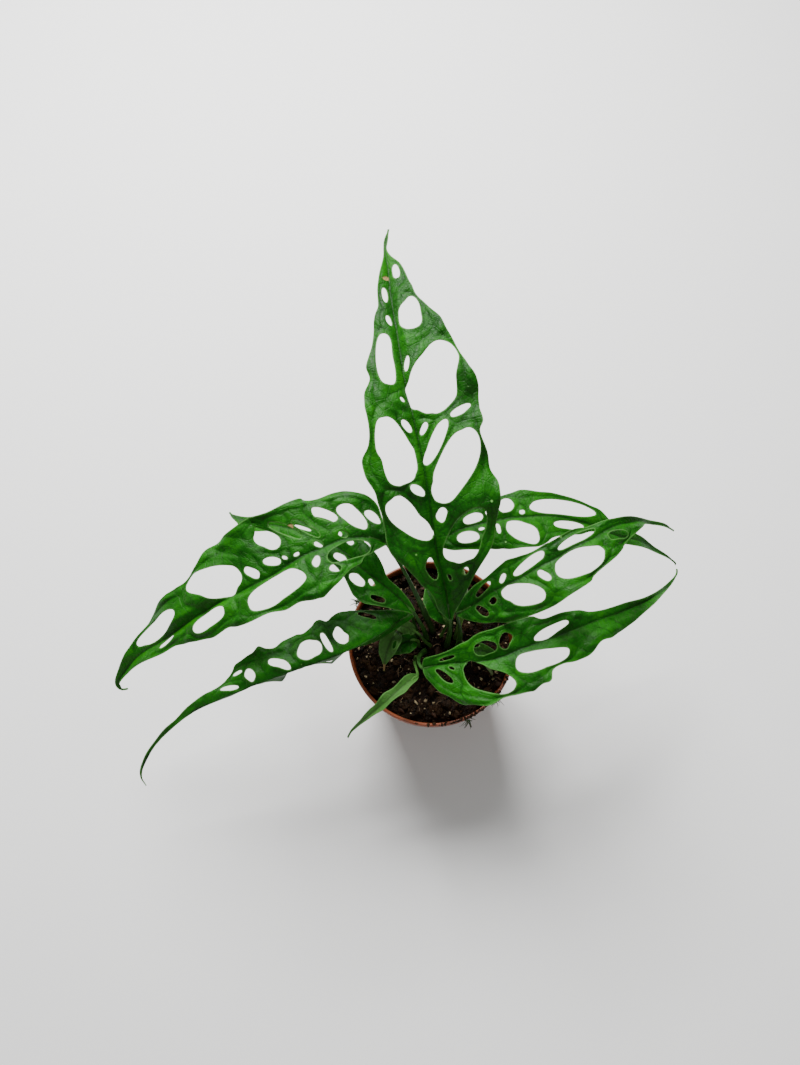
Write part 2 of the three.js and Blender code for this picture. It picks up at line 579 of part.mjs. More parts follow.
// Triangles of the plan between its outline and its holes, evened out round the inner points
function triangulatePlan(loops, inner) {
  const points = loops.flat();
  const triangles = THREE.ShapeUtils.triangulateShape(loops[0], loops.slice(1))
    .map(([a, b, c]) => (area(points[a], points[b], points[c]) > 0 ? [a, b, c] : [a, c, b]));
  const edgeKey = (a, b) => (a < b ? `${a} ${b}` : `${b} ${a}`);
  const fixed = new Set();
  let first = 0;
  loops.forEach((loop) => {
    loop.forEach((_, i) => fixed.add(edgeKey(first + i, first + (i + 1) % loop.length)));
    first += loop.length;
  });

  inner.forEach((point) => {
    const home = triangles.findIndex(([a, b, c]) => Math.min(
      area(points[a], points[b], point),
      area(points[b], points[c], point),
      area(points[c], points[a], point),
    ) > 1e-3);
    if (home < 0) return;
    const [a, b, c] = triangles[home];
    const added = points.push(point) - 1;
    triangles[home] = [a, b, added];
    triangles.push([b, c, added], [c, a, added]);
  });

  for (let pass = 0, flips = 1; flips > 0 && pass < MOST_FLIP_PASSES; pass += 1) {
    flips = 0;
    const owner = new Map();
    const touched = new Set();
    triangles.forEach((triangle, index) => {
      triangle.forEach((a, corner) => {
        const b = triangle[(corner + 1) % 3];
        const apex = triangle[(corner + 2) % 3];
        const key = edgeKey(a, b);
        const other = owner.get(key);
        if (!other) {
          owner.set(key, { index, a, b, apex });
          return;
        }
        if (fixed.has(key) || touched.has(index) || touched.has(other.index)) return;
        const [pa, pb, pc, pd] = [other.a, other.b, other.apex, apex].map((i) => points[i]);
        const convex = area(pc, pd, pb) > 1e-6 && area(pd, pc, pa) > 1e-6;
        if (!convex || inCircle(pa, pb, pc, pd) < 1e-6) return;
        triangles[other.index] = [other.apex, other.a, apex];
        triangles[index] = [apex, other.b, other.apex];
        touched.add(index).add(other.index);
        flips += 1;
      });
    });
  }
  return { points, triangles, loops };
}

// Closed solid of the blade: the plan laid on the surface, one face above it and one below,
// deeper under the midrib, joined round the outline and round every hole
function bladeGeometry(leaf, surface) {
  const loops = [bladeOutline(leaf), ...leaf.holes.map(holeOutline)];
  if (!THREE.ShapeUtils.isClockWise(loops[0])) loops[0].reverse();
  loops[0].reverse();
  loops.slice(1).forEach((loop) => {
    if (!THREE.ShapeUtils.isClockWise(loop)) loop.reverse();
  });
  const plan = triangulatePlan(loops, innerPoints(loops, surface.length));
  const middle = plan.points.map(({ x, y }) => surface.point(x, y));
  const sheet = bufferGeometry(middle, plan.triangles);
  sheet.computeVertexNormals();
  const normals = middle.map((_, i) => new THREE.Vector3().fromBufferAttribute(sheet.attributes.normal, i));
  const upper = middle.map((p, i) => p.clone().addScaledVector(normals[i], BLADE_THICKNESS / 2));
  const lower = middle.map((p, i) => {
    const { x, y } = plan.points[i];
    const rib = RIB_DEPTH * clamp(1 - x / surface.length, 0, 1) * Math.exp(-((y / RIB_HALF_WIDTH) ** 2));
    return p.clone().addScaledVector(normals[i], -BLADE_THICKNESS / 2 - rib);
  });
  const count = middle.length;
  const triangles = plan.triangles.flatMap(([a, b, c]) => [[a, b, c], [a + count, c + count, b + count]]);
  let first = 0;
  loops.forEach((loop) => {
    loop.forEach((_, i) => {
      const a = first + i;
      const b = first + (i + 1) % loop.length;
      triangles.push([a, a + count, b + count], [a, b + count, b]);
    });
    first += loop.length;
  });
  return bufferGeometry([...upper, ...lower], triangles);
}

// One leaf: its blade and its petiole, grown together
function leafSolid(leaf, thickness) {
  const surface = leafSurface(leaf);
  const blade = toSolid(bladeGeometry(leaf, surface));
  const sink = new THREE.Vector3(0, 0, -thickness.neck * PETIOLE_SINK);
  const path = [
    ...footPoints(leaf.foot, FOOT_DEPTH),
    ...leaf.petiole.map(vector),
    ...PETIOLE_UNDER_BLADE.map((along) => surface.point(along, 0).add(sink)),
  ];
  const radii = [thickness.foot, thickness.foot, thickness.neck, PETIOLE_END_RADIUS];
  return blade.add(toSolid(stem(path, radii, PETIOLE_STEP)));
}

// The pot: one turned profile, cut by a ring of drain holes through the floor

function pot() {
  const neck = RIM_RADIUS - COLLAR_STEP;
  const profile = [
    [0, 0], [BASE_RADIUS - BASE_CHAMFER, 0], [BASE_RADIUS, BASE_CHAMFER],
    [neck, COLLAR_BOTTOM - BASE_CHAMFER], [RIM_RADIUS - LIP_ROUND, COLLAR_BOTTOM],
    [RIM_RADIUS, POT_HEIGHT - LIP_ROUND], [RIM_RADIUS - LIP_ROUND / 2, POT_HEIGHT],
    [RIM_RADIUS - COLLAR_WALL, POT_HEIGHT], [RIM_RADIUS - COLLAR_WALL, COLLAR_BOTTOM + FLOOR],
    [neck - LOWER_WALL, COLLAR_BOTTOM - BASE_CHAMFER], [BASE_RADIUS - WALL, FLOOR], [0, FLOOR],
  ].map(([radius, z]) => new THREE.Vector2(radius, z));
  let solid = toSolid(lathe(profile));
  for (let i = 0; i < DRAIN_HOLES; i += 1) {
    const angle = 2 * Math.PI * (i + 0.5) / DRAIN_HOLES;
    const [radius, sides] = [DRAIN_HOLE_RADIUS, DRAIN_HOLE_SIDES];
    const hole = new THREE.CylinderGeometry(radius, radius, 3 * FLOOR, sides);
    hole.rotateX(Math.PI / 2);
    hole.translate(DRAIN_RING_RADIUS * Math.cos(angle), DRAIN_RING_RADIUS * Math.sin(angle), FLOOR / 2);
    solid = solid.subtract(toSolid(hole));
  }
  return toGeometry(solid);
}

// Turned solid about +Z from a profile of (radius, height)
function lathe(profile) {
  const geometry = new THREE.LatheGeometry(profile, POT_SIDES);
  geometry.rotateX(Math.PI / 2);
  return geometry;
}

// Inner radius of the pot's wall below the collar, at a height
function potInside(z) {
  const low = BASE_RADIUS - WALL;
  const high = RIM_RADIUS - COLLAR_STEP - LOWER_WALL;
  return low + (high - low) * (z - FLOOR) / (COLLAR_BOTTOM - BASE_CHAMFER - FLOOR);
}

// The soil: it fills the pot, its top is slightly heaped and rough, and each stem has its hole

function soil(feet) {
  const bottom = FLOOR + FIT_GAP;
  const bottomRadius = potInside(bottom) - 2 * FIT_GAP;
  const topRadius = potInside(SOIL_SHOULDER) - 2 * FIT_GAP;
  const profile = [
    [0, bottom], [bottomRadius, bottom], [topRadius, SOIL_SHOULDER], [topRadius, SOIL_TOP - SOIL_CHAMFER],
    ...SOIL_RINGS.map((radius) => [radius, SOIL_TOP]), [0, SOIL_TOP],
  ].map(([radius, z]) => new THREE.Vector2(radius, z));
  const geometry = lathe(profile);
  const position = geometry.attributes.position;
  for (let i = 0; i < position.count; i += 1) {
    const [x, y, z] = [position.getX(i), position.getY(i), position.getZ(i)];
    const heaps = SOIL_HEAPS.map(([height, alongX, alongY, start]) => (
      height * Math.sin(alongX * x + alongY * y + start)
    ));
    if (z > SOIL_TOP - FIT_GAP) position.setZ(i, z + heaps.reduce((sum, height) => sum + height, 0));
  }
  let solid = toSolid(geometry);
  feet.forEach(({ foot: [x, y], radius, depth }) => {
    const height = 2 * depth;
    const wide = radius + FOOT_CLEARANCE;
    const hole = new THREE.CylinderGeometry(wide, wide, height, STEM_HOLE_SIDES);
    hole.rotateX(Math.PI / 2);
    hole.translate(x, y, SOIL_TOP - FIT_GAP);
    solid = solid.subtract(toSolid(hole));
  });
  return toGeometry(solid);
}

// Assembly

const plant = new THREE.Group();
plant.name = 'potted_monstera_obliqua';

function place(name, geometry, finish) {
  const mesh = new THREE.Mesh(geometry, new THREE.MeshStandardMaterial({ ...finish, metalness: 0 }));
  mesh.name = name;
  plant.add(mesh);
}

const feet = [];
Object.entries(LEAVES).forEach(([name, leaf]) => {
  const young = name.startsWith('leaf_young');
  const thickness = young ? YOUNG_LEAF_PETIOLE : LARGE_LEAF_PETIOLE;
  let solid = leafSolid(leaf, thickness);
  if (name === AERIAL_ROOT.leaf) {
    const { foot, depth, path, radius, endRadius, step } = AERIAL_ROOT;
    const route = [...path.map(vector), ...footPoints(foot, depth).reverse()];
    solid = solid.add(toSolid(stem(route, [radius, endRadius], step)));
  }
  feet.push({ foot: leaf.foot, radius: thickness.foot, depth: FOOT_DEPTH });
  place(name, toGeometry(solid), young ? FINISHES.young : FINISHES.leaf);
});

const spearPath = [...footPoints(SPEAR.foot, FOOT_DEPTH), ...SPEAR.path.map(vector)];
place('new_leaf_spear', stem(spearPath, SPEAR.radii, SPEAR.step), FINISHES.young);
feet.push({ foot: SPEAR.foot, radius: SPEAR.radii[0], depth: FOOT_DEPTH });
feet.push({ foot: AERIAL_ROOT.foot, radius: AERIAL_ROOT.radius, depth: AERIAL_ROOT.depth });

place('soil', soil(feet), FINISHES.soil);
place('pot', pot(), FINISHES.pot);

export default plant;
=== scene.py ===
"""Potted monstera obliqua: perforated leaf blades with their veins, petioles, nursery pot and soil.

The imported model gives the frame. Every piece here is a fine surface that stands for one of its nodes.
Plans of the leaves, paths and profiles are in millimetres; what goes into a mesh is in metres.
"""

import math

import bpy
import numpy as np
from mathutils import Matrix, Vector


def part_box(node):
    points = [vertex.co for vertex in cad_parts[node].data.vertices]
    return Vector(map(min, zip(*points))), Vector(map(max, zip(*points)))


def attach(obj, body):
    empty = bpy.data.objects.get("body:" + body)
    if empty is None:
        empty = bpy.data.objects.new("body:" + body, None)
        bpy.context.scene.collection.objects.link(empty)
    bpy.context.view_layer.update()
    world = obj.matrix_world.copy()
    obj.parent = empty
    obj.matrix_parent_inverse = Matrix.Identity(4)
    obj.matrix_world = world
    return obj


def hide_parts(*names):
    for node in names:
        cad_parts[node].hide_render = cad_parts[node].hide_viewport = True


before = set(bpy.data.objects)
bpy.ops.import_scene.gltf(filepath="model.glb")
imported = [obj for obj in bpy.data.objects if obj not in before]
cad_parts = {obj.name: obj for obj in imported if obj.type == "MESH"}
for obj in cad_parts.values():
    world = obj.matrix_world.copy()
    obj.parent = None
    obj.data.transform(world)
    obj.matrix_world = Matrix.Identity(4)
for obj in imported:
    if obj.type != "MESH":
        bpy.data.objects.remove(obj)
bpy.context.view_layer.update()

MM = 0.001
UP = np.array([0.0, 0.0, 1.0])

bl_info = {
    "name": "Potted monstera obliqua",
    "version": (1, 0, 0),
    "blender": (4, 5, 0),
    "location": "View3D > Sidebar > Monstera",
    "description": "Builds a potted monstera obliqua around its packed model",
    "category": "Add Mesh",
}

# Every leaf is drawn on its own plan: the first number of a pair runs along the midrib from the base
# of the blade, the second across it, positive to the left when looking at the tip.
#   foot      where the petiole leaves the soil, (x, y)
#   petiole   points between the soil and the blade, (x, y, z)
#   midrib    points from the blade's base to the end of its drip tip, (x, y, z)
#   lift_left, lift_right   by distance along, the angle of that half above the level, in degrees
#   wave      height, number and start (in turns) of the swells along the margins
#   left, right   the two margins from base to tip
#   holes     rounded perforations (along, across, length, width, lean in degrees, taper), where the
#             taper widens the far end when positive and the near end when negative

LEAVES = {
    "leaf_upright": {
        "foot": (9.5, -1.5),
        "petiole": [(10, 0, 101), (10, 2, 116)],
        "midrib": [
            (9, 5, 130), (6, 18, 146), (1, 34, 160), (-3, 55, 175), (-7, 77, 186), (-13, 103, 195),
            (-18, 125, 200), (-21, 147, 201), (-25, 175, 200), (-27, 198, 197), (-29, 216, 194),
            (-27, 235, 189),
        ],
        "lift_left": [(0, 8)],
        "lift_right": [(0, 8)],
        "wave": (2.8, 7, 0),
        "left": [
            (0, 1.5), (6, 4.5), (13, 7.5), (19, 8.5), (25, 10.5), (30, 14), (36, 16.5), (42, 20),
            (48, 25), (54, 27.5), (62, 27.5), (70, 27.5), (78, 29), (86, 30.5), (94, 33.5), (103, 32.5),
            (111, 28), (120, 26), (132, 25.5), (139, 24), (145, 19.5), (151, 20.5), (157, 18),
            (164, 15.4), (174, 13), (184, 11), (191, 8.5), (202, 7.7), (212, 6), (221, 4), (230, 1.5),
            (237, 0.9), (246, 1.1), (257, 0),
        ],
        "right": [
            (0, -1.5), (7, -4.5), (14, -9.5), (22, -14.5), (30, -21.5), (38, -28.5), (46, -32.5),
            (56, -34.5), (64, -37.5), (70, -39.5), (78, -39), (86, -36), (95, -35.5), (105, -34),
            (110, -37), (117, -36.5), (124, -37.5), (130, -39), (137, -37.8), (143, -36), (152, -33.6),
            (162, -30.2), (171, -27.2), (180, -23.2), (187, -18.6), (194, -14.8), (203, -12), (213, -10),
            (221, -7.5), (229, -3), (237, -1), (246, -1.1), (257, 0),
        ],
        "holes": [
            (36.5, 5.5, 13, 6, 8, 0), (66, 13, 33, 14, 40, 0.1), (81, 6.3, 10, 4.8, 52, 0),
            (104.5, 14.9, 38, 20, 9, -0.2), (116.5, 5.1, 8.5, 3.8, 32, 0), (131.5, 4, 3.4, 2, 30, 0),
            (155.5, 9.2, 31.5, 10.4, -3, -0.12), (180.5, 3.6, 7, 3, 10, 0), (198.5, 3.6, 11, 3.6, 0, 0),
            (28.5, -3.8, 4, 2, 10, 0), (30, -13.5, 5, 3.2, -30, 0), (51.4, -17.2, 35, 19, -33, 0),
            (65.7, -5.7, 8.6, 5.6, -25, 0), (90.2, -17.3, 42.5, 19.6, -37, 0),
            (104.6, -9.2, 27, 7.2, -38, 0), (113.4, -4.4, 7.5, 3.4, -38, 0),
            (118.3, -26, 12.5, 4.8, -72, 0), (141, -16.6, 44.5, 26, -27, -0.12),
            (151.8, -2.9, 9, 3, -14, 0), (183, -9.6, 22.5, 12.6, -9, -0.3),
            (215.5, -4.6, 11.5, 4.4, 3, -0.2),
        ],
    },
    "leaf_left": {
        "foot": (0.5, 7.5),
        "petiole": [(-3.5, 11.5, 104), (-10, 20, 125), (-19.5, 32.5, 145)],
        "midrib": [
            (-28, 44, 152), (-38, 46, 156), (-51, 44, 159), (-64, 38, 160), (-76, 33, 159),
            (-90, 25, 155), (-109, 17, 148), (-135, 7, 134), (-160, -4, 116), (-179, -11, 102),
            (-190, -19, 91), (-196, -25, 84), (-195, -28, 80), (-191, -27, 77),
        ],
        "lift_left": [(0, 0)],
        "lift_right": [(0, 6)],
        "wave": (2.6, 7, 0.3),
        "left": [
            (0, 1.5), (4, 6), (9, 10), (15, 12.5), (19, 16.5), (26, 19), (34, 21), (41, 25), (49, 27),
            (57, 26.5), (64, 22.5), (71, 22), (80, 19.5), (90, 20), (100, 18.5), (108, 15.7), (119, 16),
            (128, 14), (139, 11), (148, 8), (160, 7.8), (170, 7), (182, 5), (194, 3), (205, 1.5),
            (212, 0.8), (218, 0),
        ],
        "right": [
            (0, -1.5), (2, -7), (6, -12.5), (9, -20), (13, -25), (20, -27.5), (28, -28), (36, -30.5),
            (45, -31.5), (54, -31.5), (62, -34.5), (72, -35.5), (84, -34), (96, -33), (105, -30.5),
            (113, -25.5), (121, -22.5), (129, -21.3), (139, -22), (149, -20.5), (158, -17.2),
            (164, -13.6), (172, -10.8), (181, -7.4), (194, -4.7), (205, -2.5), (212, -1), (218, 0),
        ],
        "holes": [
            (24.3, 7.6, 28, 11, 4, 0), (36.8, 14.9, 6, 4, -45, 0), (44.2, 6.9, 7, 4.2, 65, 0),
            (72, 9.6, 35.5, 15, 2, 0), (116.5, 6.3, 25, 9, 5, 0.1), (152.5, 2.8, 13.5, 3.2, 6, 0),
            (9.9, -12, 8.8, 4.4, -50, 0), (18.4, -12, 18.5, 8, -55, 0), (30.3, -17.4, 14.5, 6, -52, 0),
            (25, -2.9, 5, 3.2, -35, 0), (40, -2.9, 6, 3.4, -35, 0), (42.8, -13.5, 18, 4.4, -52, 0),
            (53, -2.3, 3.4, 2, 0, 0), (52.4, -18, 19, 4.2, -60, 0), (63.9, -19.8, 20, 10.6, -52, 0),
            (59.3, -4.2, 3.4, 2, -50, 0), (67.2, -6.6, 11.5, 5.2, -30, 0),
            (81.2, -6.6, 10.5, 5.2, -50, 0), (105.8, -12.2, 37.5, 17.5, -19, -0.15),
            (156.5, -7.2, 40, 10, 6, -0.15),
        ],
    },
    "leaf_left_under": {
        "foot": (-3.5, 1.5),
        "petiole": [(-5, 4, 102), (-9, 7.5, 116)],
        "midrib": [
            (-12, 10, 124), (-21, 18, 129), (-33, 27, 133), (-44, 35, 136), (-57, 46, 137),
            (-73, 55, 134), (-93, 63, 128), (-111, 68, 120), (-125, 76, 112), (-131, 82, 107),
        ],
        "lift_left": [(0, 0)],
        "lift_right": [(0, 4)],
        "wave": (1.6, 5, 0.6),
        "left": [
            (0, 1.5), (5, 4), (12, 8), (20, 12.5), (27, 16), (34, 16), (40, 13.5), (46, 10.5), (54, 9.5),
            (64, 10), (74, 9), (84, 6), (96, 4.5), (106, 4.5), (116, 5.5), (126, 6), (134, 3.2),
            (142, 1.4), (149, 0),
        ],
        "right": [
            (0, -1.5), (7, -3.2), (16, -4.2), (25, -5), (32, -8.5), (40, -12), (50, -12.5), (60, -12.5),
            (70, -12.5), (78, -12.3), (86, -11), (96, -9.5), (106, -9), (115, -7), (125, -3.6),
            (135, -1.8), (142, -1), (149, 0),
        ],
        "holes": [
            (22, 9, 9, 3.6, 20, 0), (31, 3.4, 5, 3, -20, 0), (38.5, 7.5, 10, 5.6, 4, 0),
            (54, 4, 9, 4.6, 10, 0), (56.5, -7, 6, 3.4, 0, 0), (65, -7.4, 7, 3.6, 0, 0),
            (70, 4.6, 8, 3.2, -12, 0), (80, -6.6, 10, 3.4, -8, 0), (86, -2.6, 12, 2, 0, 0),
        ],
    },
    "leaf_folded": {
        "foot": (-9.5, 5),
        "petiole": [(-11, 8.5, 99)],
        "midrib": [
            (-13, 12, 111), (-21, 6, 118), (-32, -4, 126), (-49, -14, 131), (-70, -22, 131),
            (-83, -26, 128), (-107, -33, 119), (-139, -43, 103), (-156, -52, 92), (-170, -62, 80),
            (-179, -73, 70), (-181, -80, 66), (-178, -86, 63),
        ],
        "lift_left": [
            (0, -50), (25, -92), (50, -108), (62, -90), (76, -108), (90, -108), (99, -92), (112, -108),
            (160, -95),
        ],
        "lift_right": [(0, -10)],
        "wave": (1, 9, 0.2),
        "left": [
            (0, 1.5), (6, 3.5), (14, 5.5), (24, 8), (34, 13), (45, 15.5), (56, 15), (64, 18), (72, 14.5),
            (82, 14), (92, 13), (99, 15.5), (107, 11), (118, 9.5), (130, 7), (142, 4.5), (155, 2.5),
            (175, 1.4), (205, 1), (224, 0),
        ],
        "right": [
            (0, -1.5), (6, -4), (14, -9.5), (23, -16), (32, -20.5), (42, -23.5), (50, -23), (56, -21.5),
            (61, -24), (67, -21), (72, -19.5), (78, -20.5), (86, -19.5), (92, -17), (97, -18),
            (102, -21.5), (107, -18.5), (113, -16.5), (119, -15.5), (122, -12.5), (128, -8.8),
            (136, -6.8), (146, -5.8), (156, -4), (170, -2.8), (190, -2.2), (210, -1), (224, 0),
        ],
        "holes": [
            (51, -9.8, 11.5, 8.4, -75, 0), (60.7, -8.9, 13.5, 3.8, -78, 0),
            (71.5, -8.4, 15.5, 11.6, -10, 0), (90.5, -6, 14.5, 5, -33, 0), (110, -5.8, 8.5, 6, -50, 0),
            (125.8, -3.4, 12.5, 2.6, -10, 0), (118.4, -10, 7, 2.2, 4, 0), (46, 8.5, 11, 6, 15, 0),
            (68, 8, 15, 6, -8, 0), (88, 7, 9, 5, 0, 0), (103, 6, 8, 3.6, -15, 0),
            (28, -13.6, 13.5, 4.4, -41, 0.1),
        ],
    },
    "leaf_right_rear": {
        "foot": (11.5, 6.5),
        "petiole": [(11.5, 11, 100), (11, 21, 115), (6, 35, 131)],
        "midrib": [
            (0, 48, 138), (9, 52, 143), (21, 56, 147), (39, 59, 150), (56, 61, 150), (74, 62, 147),
            (94, 60, 139), (111, 57, 129), (129, 57, 118), (145, 54, 106), (156, 51, 98), (159, 48, 95),
        ],
        "lift_left": [(0, 0)],
        "lift_right": [(0, -3)],
        "wave": (1.4, 6, 0.1),
        "left": [
            (0, 1.5), (3, 5), (9, 6.5), (17, 8), (25, 10.5), (34, 12.5), (43, 14), (52, 15.5), (61, 16),
            (68, 14.5), (77, 14.3), (88, 13.2), (98, 12), (105, 11), (111, 8), (119, 6), (130, 5),
            (140, 3.2), (152, 1.7), (166, 1), (181, 0),
        ],
        "right": [
            (0, -1.5), (4, -5), (9, -9), (16, -12), (25, -14.5), (34, -17), (44, -18.6), (54, -19.5),
            (61, -19), (67, -16.5), (75, -13), (84, -10.5), (93, -8), (100, -4.4), (108, -3.4),
            (118, -4.2), (130, -4.4), (142, -4.2), (153, -2.4), (166, -1), (181, 0),
        ],
        "holes": [
            (27.3, 3.6, 11.4, 5.4, 4, 0), (37.4, 6.2, 6.3, 4, 40, 0), (46.8, 7.6, 9.5, 8.6, 40, 0),
            (55.4, 2.6, 3.4, 2.6, 0, 0), (81, 6.3, 42, 9, 3, -0.05), (21.5, -6.3, 14, 7, -14, 0),
            (30.6, -3.6, 3.6, 2, 0, 0), (40.2, -5.4, 6.5, 2.6, -85, 0), (53.8, -9.8, 20.5, 11.6, -36, 0),
            (84.4, -4.2, 21.5, 5.4, 7, 0),
        ],
    },
    "leaf_right_middle": {
        "foot": (16, -3.5),
        "petiole": [(17, 0, 99), (16, 4, 112)],
        "midrib": [
            (14, 9, 124), (24, 13, 133), (32, 17, 142), (43, 21, 149), (50, 24, 152), (58, 28, 156),
            (68, 33, 158), (78, 39, 159), (89, 44, 159), (101, 52, 156), (114, 57, 151), (128, 61, 143),
            (140, 62, 134), (150, 61, 126),
        ],
        "lift_left": [(0, 8)],
        "lift_right": [(0, -4)],
        "wave": (2.2, 6, 0.4),
        "left": [
            (0, 1.5), (5, 4.5), (12, 7.5), (20, 8.8), (28, 8.8), (36, 10.8), (45, 12.2), (52, 11),
            (59, 9.4), (68, 9.6), (77, 9.2), (86, 9.2), (95, 7.6), (103, 6), (112, 4.2), (124, 3),
            (136, 1.6), (148, 1.2), (158, 0.9), (166, 0),
        ],
        "right": [
            (0, -1.5), (5, -6), (12, -11.5), (20, -16), (29, -18.8), (38, -20.5), (47, -22), (55, -22.8),
            (64, -23.2), (74, -22), (84, -19.6), (94, -16.2), (103, -14.8), (110, -12.4), (118, -9.2),
            (127, -5.2), (136, -1.8), (148, -1.1), (158, -0.9), (166, 0),
        ],
        "holes": [
            (37.4, 4.2, 6.4, 3, 38, 0), (54.5, 4.6, 21.5, 5.4, 8, 0.1), (43.8, -9, 24, 12, -34, 0),
            (59, -5.6, 9, 4.4, -62, 0), (79.6, -8.8, 29, 15.6, -5, 0), (85.5, 3.7, 25, 4.6, 1, 0),
            (108.5, -5.8, 14.5, 5.4, -12, -0.1), (16.5, -6, 9.5, 4.4, -62, 0.1),
            (26.4, -4.9, 5.4, 3.8, 0, 0), (24, 4, 12.5, 3.4, 13, 0.1),
        ],
    },
    "leaf_right_front": {
        "foot": (-4.5, -5.5),
        "petiole": [(-8, -11, 97), (-8.5, -17, 106)],
        "midrib": [
            (-6, -21, 112), (3, -20, 118), (15, -20, 124), (26, -20, 128), (38, -18, 131), (51, -13, 133),
            (68, -7, 133), (83, -1, 131), (97, 5, 127), (114, 12, 121), (132, 21, 112), (147, 32, 103),
            (157, 42, 97), (159, 48, 94),
        ],
        "lift_left": [(0, 20), (60, 16), (90, 8), (120, 0)],
        "lift_right": [(0, 0)],
        "wave": (2.6, 6, 0.7),
        "left": [
            (0, 1.5), (3, 5.5), (8, 6), (13, 6.5), (20, 8.5), (27, 11.5), (34, 14.5), (42, 17),
            (50, 17.5), (58, 16.5), (66, 15.8), (73, 15.5), (78, 12.4), (86, 12), (94, 11), (101, 9.4),
            (108, 6), (116, 4.6), (126, 4.2), (138, 3.4), (150, 2.2), (165, 1.4), (182, 0.9), (196, 0),
        ],
        "right": [
            (0, -1.5), (2, -7), (6, -12), (11, -16.5), (17, -19.5), (24, -23), (32, -25), (39, -25.2),
            (45, -22.5), (51, -23), (58, -24.8), (65, -23.6), (69.5, -23), (73, -17.5), (80, -16),
            (89, -17.2), (98, -16), (107, -12.5), (118, -11.8), (128, -9.5), (139, -6.8), (150, -4.5),
            (165, -2.4), (182, -1.3), (196, 0),
        ],
        "holes": [
            (41.2, 7.4, 14.5, 8, 5, 0), (54.3, 8.2, 9.5, 7, 50, 0), (14.7, -7.2, 13.5, 3.8, -38, 0),
            (38.5, -10.4, 28, 13.4, -37, 0), (69.2, -9.6, 31.5, 11, -5, -0.15),
            (80.6, 4, 22.5, 5.8, 8, 0), (19.5, -3, 4, 1.6, -25, 0), (17, 3.5, 10, 2.2, 12, 0),
        ],
    },
    "leaf_young_twisted": {
        "foot": (-10, -9.5),
        "petiole": [(-11, -14.5, 96), (-10, -19.5, 101)],
        "midrib": [
            (-9.5, -24, 105), (-15, -28.5, 110), (-21, -34, 113), (-27.5, -40, 113), (-35, -45.5, 108),
            (-42.5, -50.5, 101), (-49, -55, 93), (-52, -59, 87),
        ],
        "lift_left": [(0, 25), (60, 45)],
        "lift_right": [(0, 25), (60, 10)],
        "wave": (0.8, 4, 0),
        "left": [
            (0, 1.2), (5, 3.2), (11, 3.4), (18, 4.6), (25, 3), (32, 3.4), (40, 2.4), (48, 1.5), (58, 0.8),
            (70, 0),
        ],
        "right": [
            (0, -1.2), (5, -3.4), (12, -4), (19, -3.2), (26, -4.4), (33, -3), (41, -2.6), (49, -1.4),
            (58, -0.8), (70, 0),
        ],
        "holes": [],
    },
    "leaf_young_drooping": {
        "foot": (-15.5, 1.5),
        "petiole": [(-18, 3, 96)],
        "midrib": [(-21, 3, 104), (-25, -3, 109), (-28, -10, 107), (-29.5, -16, 100), (-30, -20, 93)],
        "lift_left": [(0, 10)],
        "lift_right": [(0, 10)],
        "wave": (0.7, 3, 0.2),
        "left": [(0, 1.2), (4, 4.6), (10, 6), (17, 4.8), (23, 2.4), (30, 0)],
        "right": [(0, -1.2), (4, -4.6), (10, -6), (17, -4.8), (23, -2.4), (30, 0)],
        "holes": [(11, 3, 5, 2.4, 12, 0)],
    },
    "leaf_young_low": {
        "foot": (-8, -1.5),
        "petiole": [(-8.2, -1.2, 92)],
        "midrib": [(-9, -1, 97), (-13, -1.5, 100.5), (-18, -3.5, 101), (-23, -6.5, 98), (-27, -10, 93)],
        "lift_left": [(0, 15)],
        "lift_right": [(0, 15)],
        "wave": (0.7, 3, 0.5),
        "left": [(0, 1.2), (3, 4.4), (8, 7.2), (14, 6.2), (19, 3.2), (24, 0)],
        "right": [(0, -1.2), (3, -3), (8, -5), (14, -4.4), (19, -2.4), (24, 0)],
        "holes": [],
    },
    "leaf_young_centre": {
        "foot": (-1, -2),
        "petiole": [(-4, -1.2, 94), (-8, 1.5, 102)],
        "midrib": [
            (-10.5, 3, 104), (-14, 4.4, 107), (-18, 5.4, 108), (-21.5, 6, 107.5), (-24.5, 6.4, 106),
        ],
        "lift_left": [(0, 20)],
        "lift_right": [(0, 15)],
        "wave": (0.9, 3, 0.3),
        "left": [(0, 1.2), (3, 3.8), (7, 4.8), (11, 4), (14, 2), (16.5, 0)],
        "right": [(0, -1.2), (3, -2.8), (7, -3.6), (11, -3), (14, -1.5), (16.5, 0)],
        "holes": [],
    },
    "leaf_young_rear": {
        "foot": (6, 4),
        "petiole": [(7.5, 6, 95)],
        "midrib": [
            (9, 8.5, 102), (6.5, 11.5, 106), (3, 15.5, 109), (0, 20.5, 110.5), (-2.5, 26, 110),
            (-4, 31, 108),
        ],
        "lift_left": [(0, 5)],
        "lift_right": [(0, 15)],
        "wave": (0.8, 3, 0.6),
        "left": [(0, 1.2), (4, 3.8), (9, 6), (14, 6.2), (19, 5.4), (24, 2.8), (29, 0)],
        "right": [(0, -1.2), (4, -2.8), (9, -4.6), (14, -5.6), (19, -5), (24, -2.6), (29, 0)],
        "holes": [],
    },
    "leaf_young_right": {
        "foot": (10, -8.5),
        "petiole": [(12, -8.4, 92)],
        "midrib": [(15, -8, 96), (21, -8, 100), (28, -8, 101), (36, -9, 99), (43, -11, 95)],
        "lift_left": [(0, 12)],
        "lift_right": [(0, 12)],
        "wave": (0.8, 3, 0.1),
        "left": [(0, 1.2), (3, 4), (9, 5.6), (16, 4.6), (23, 2.4), (30, 0)],
        "right": [(0, -1.2), (3, -4), (9, -5.8), (16, -5), (23, -2.6), (30, 0)],
        "holes": [(12, 2.8, 6, 2.2, 8, 0)],
    },
}

# Dry scars of a leaf: along, across and radius

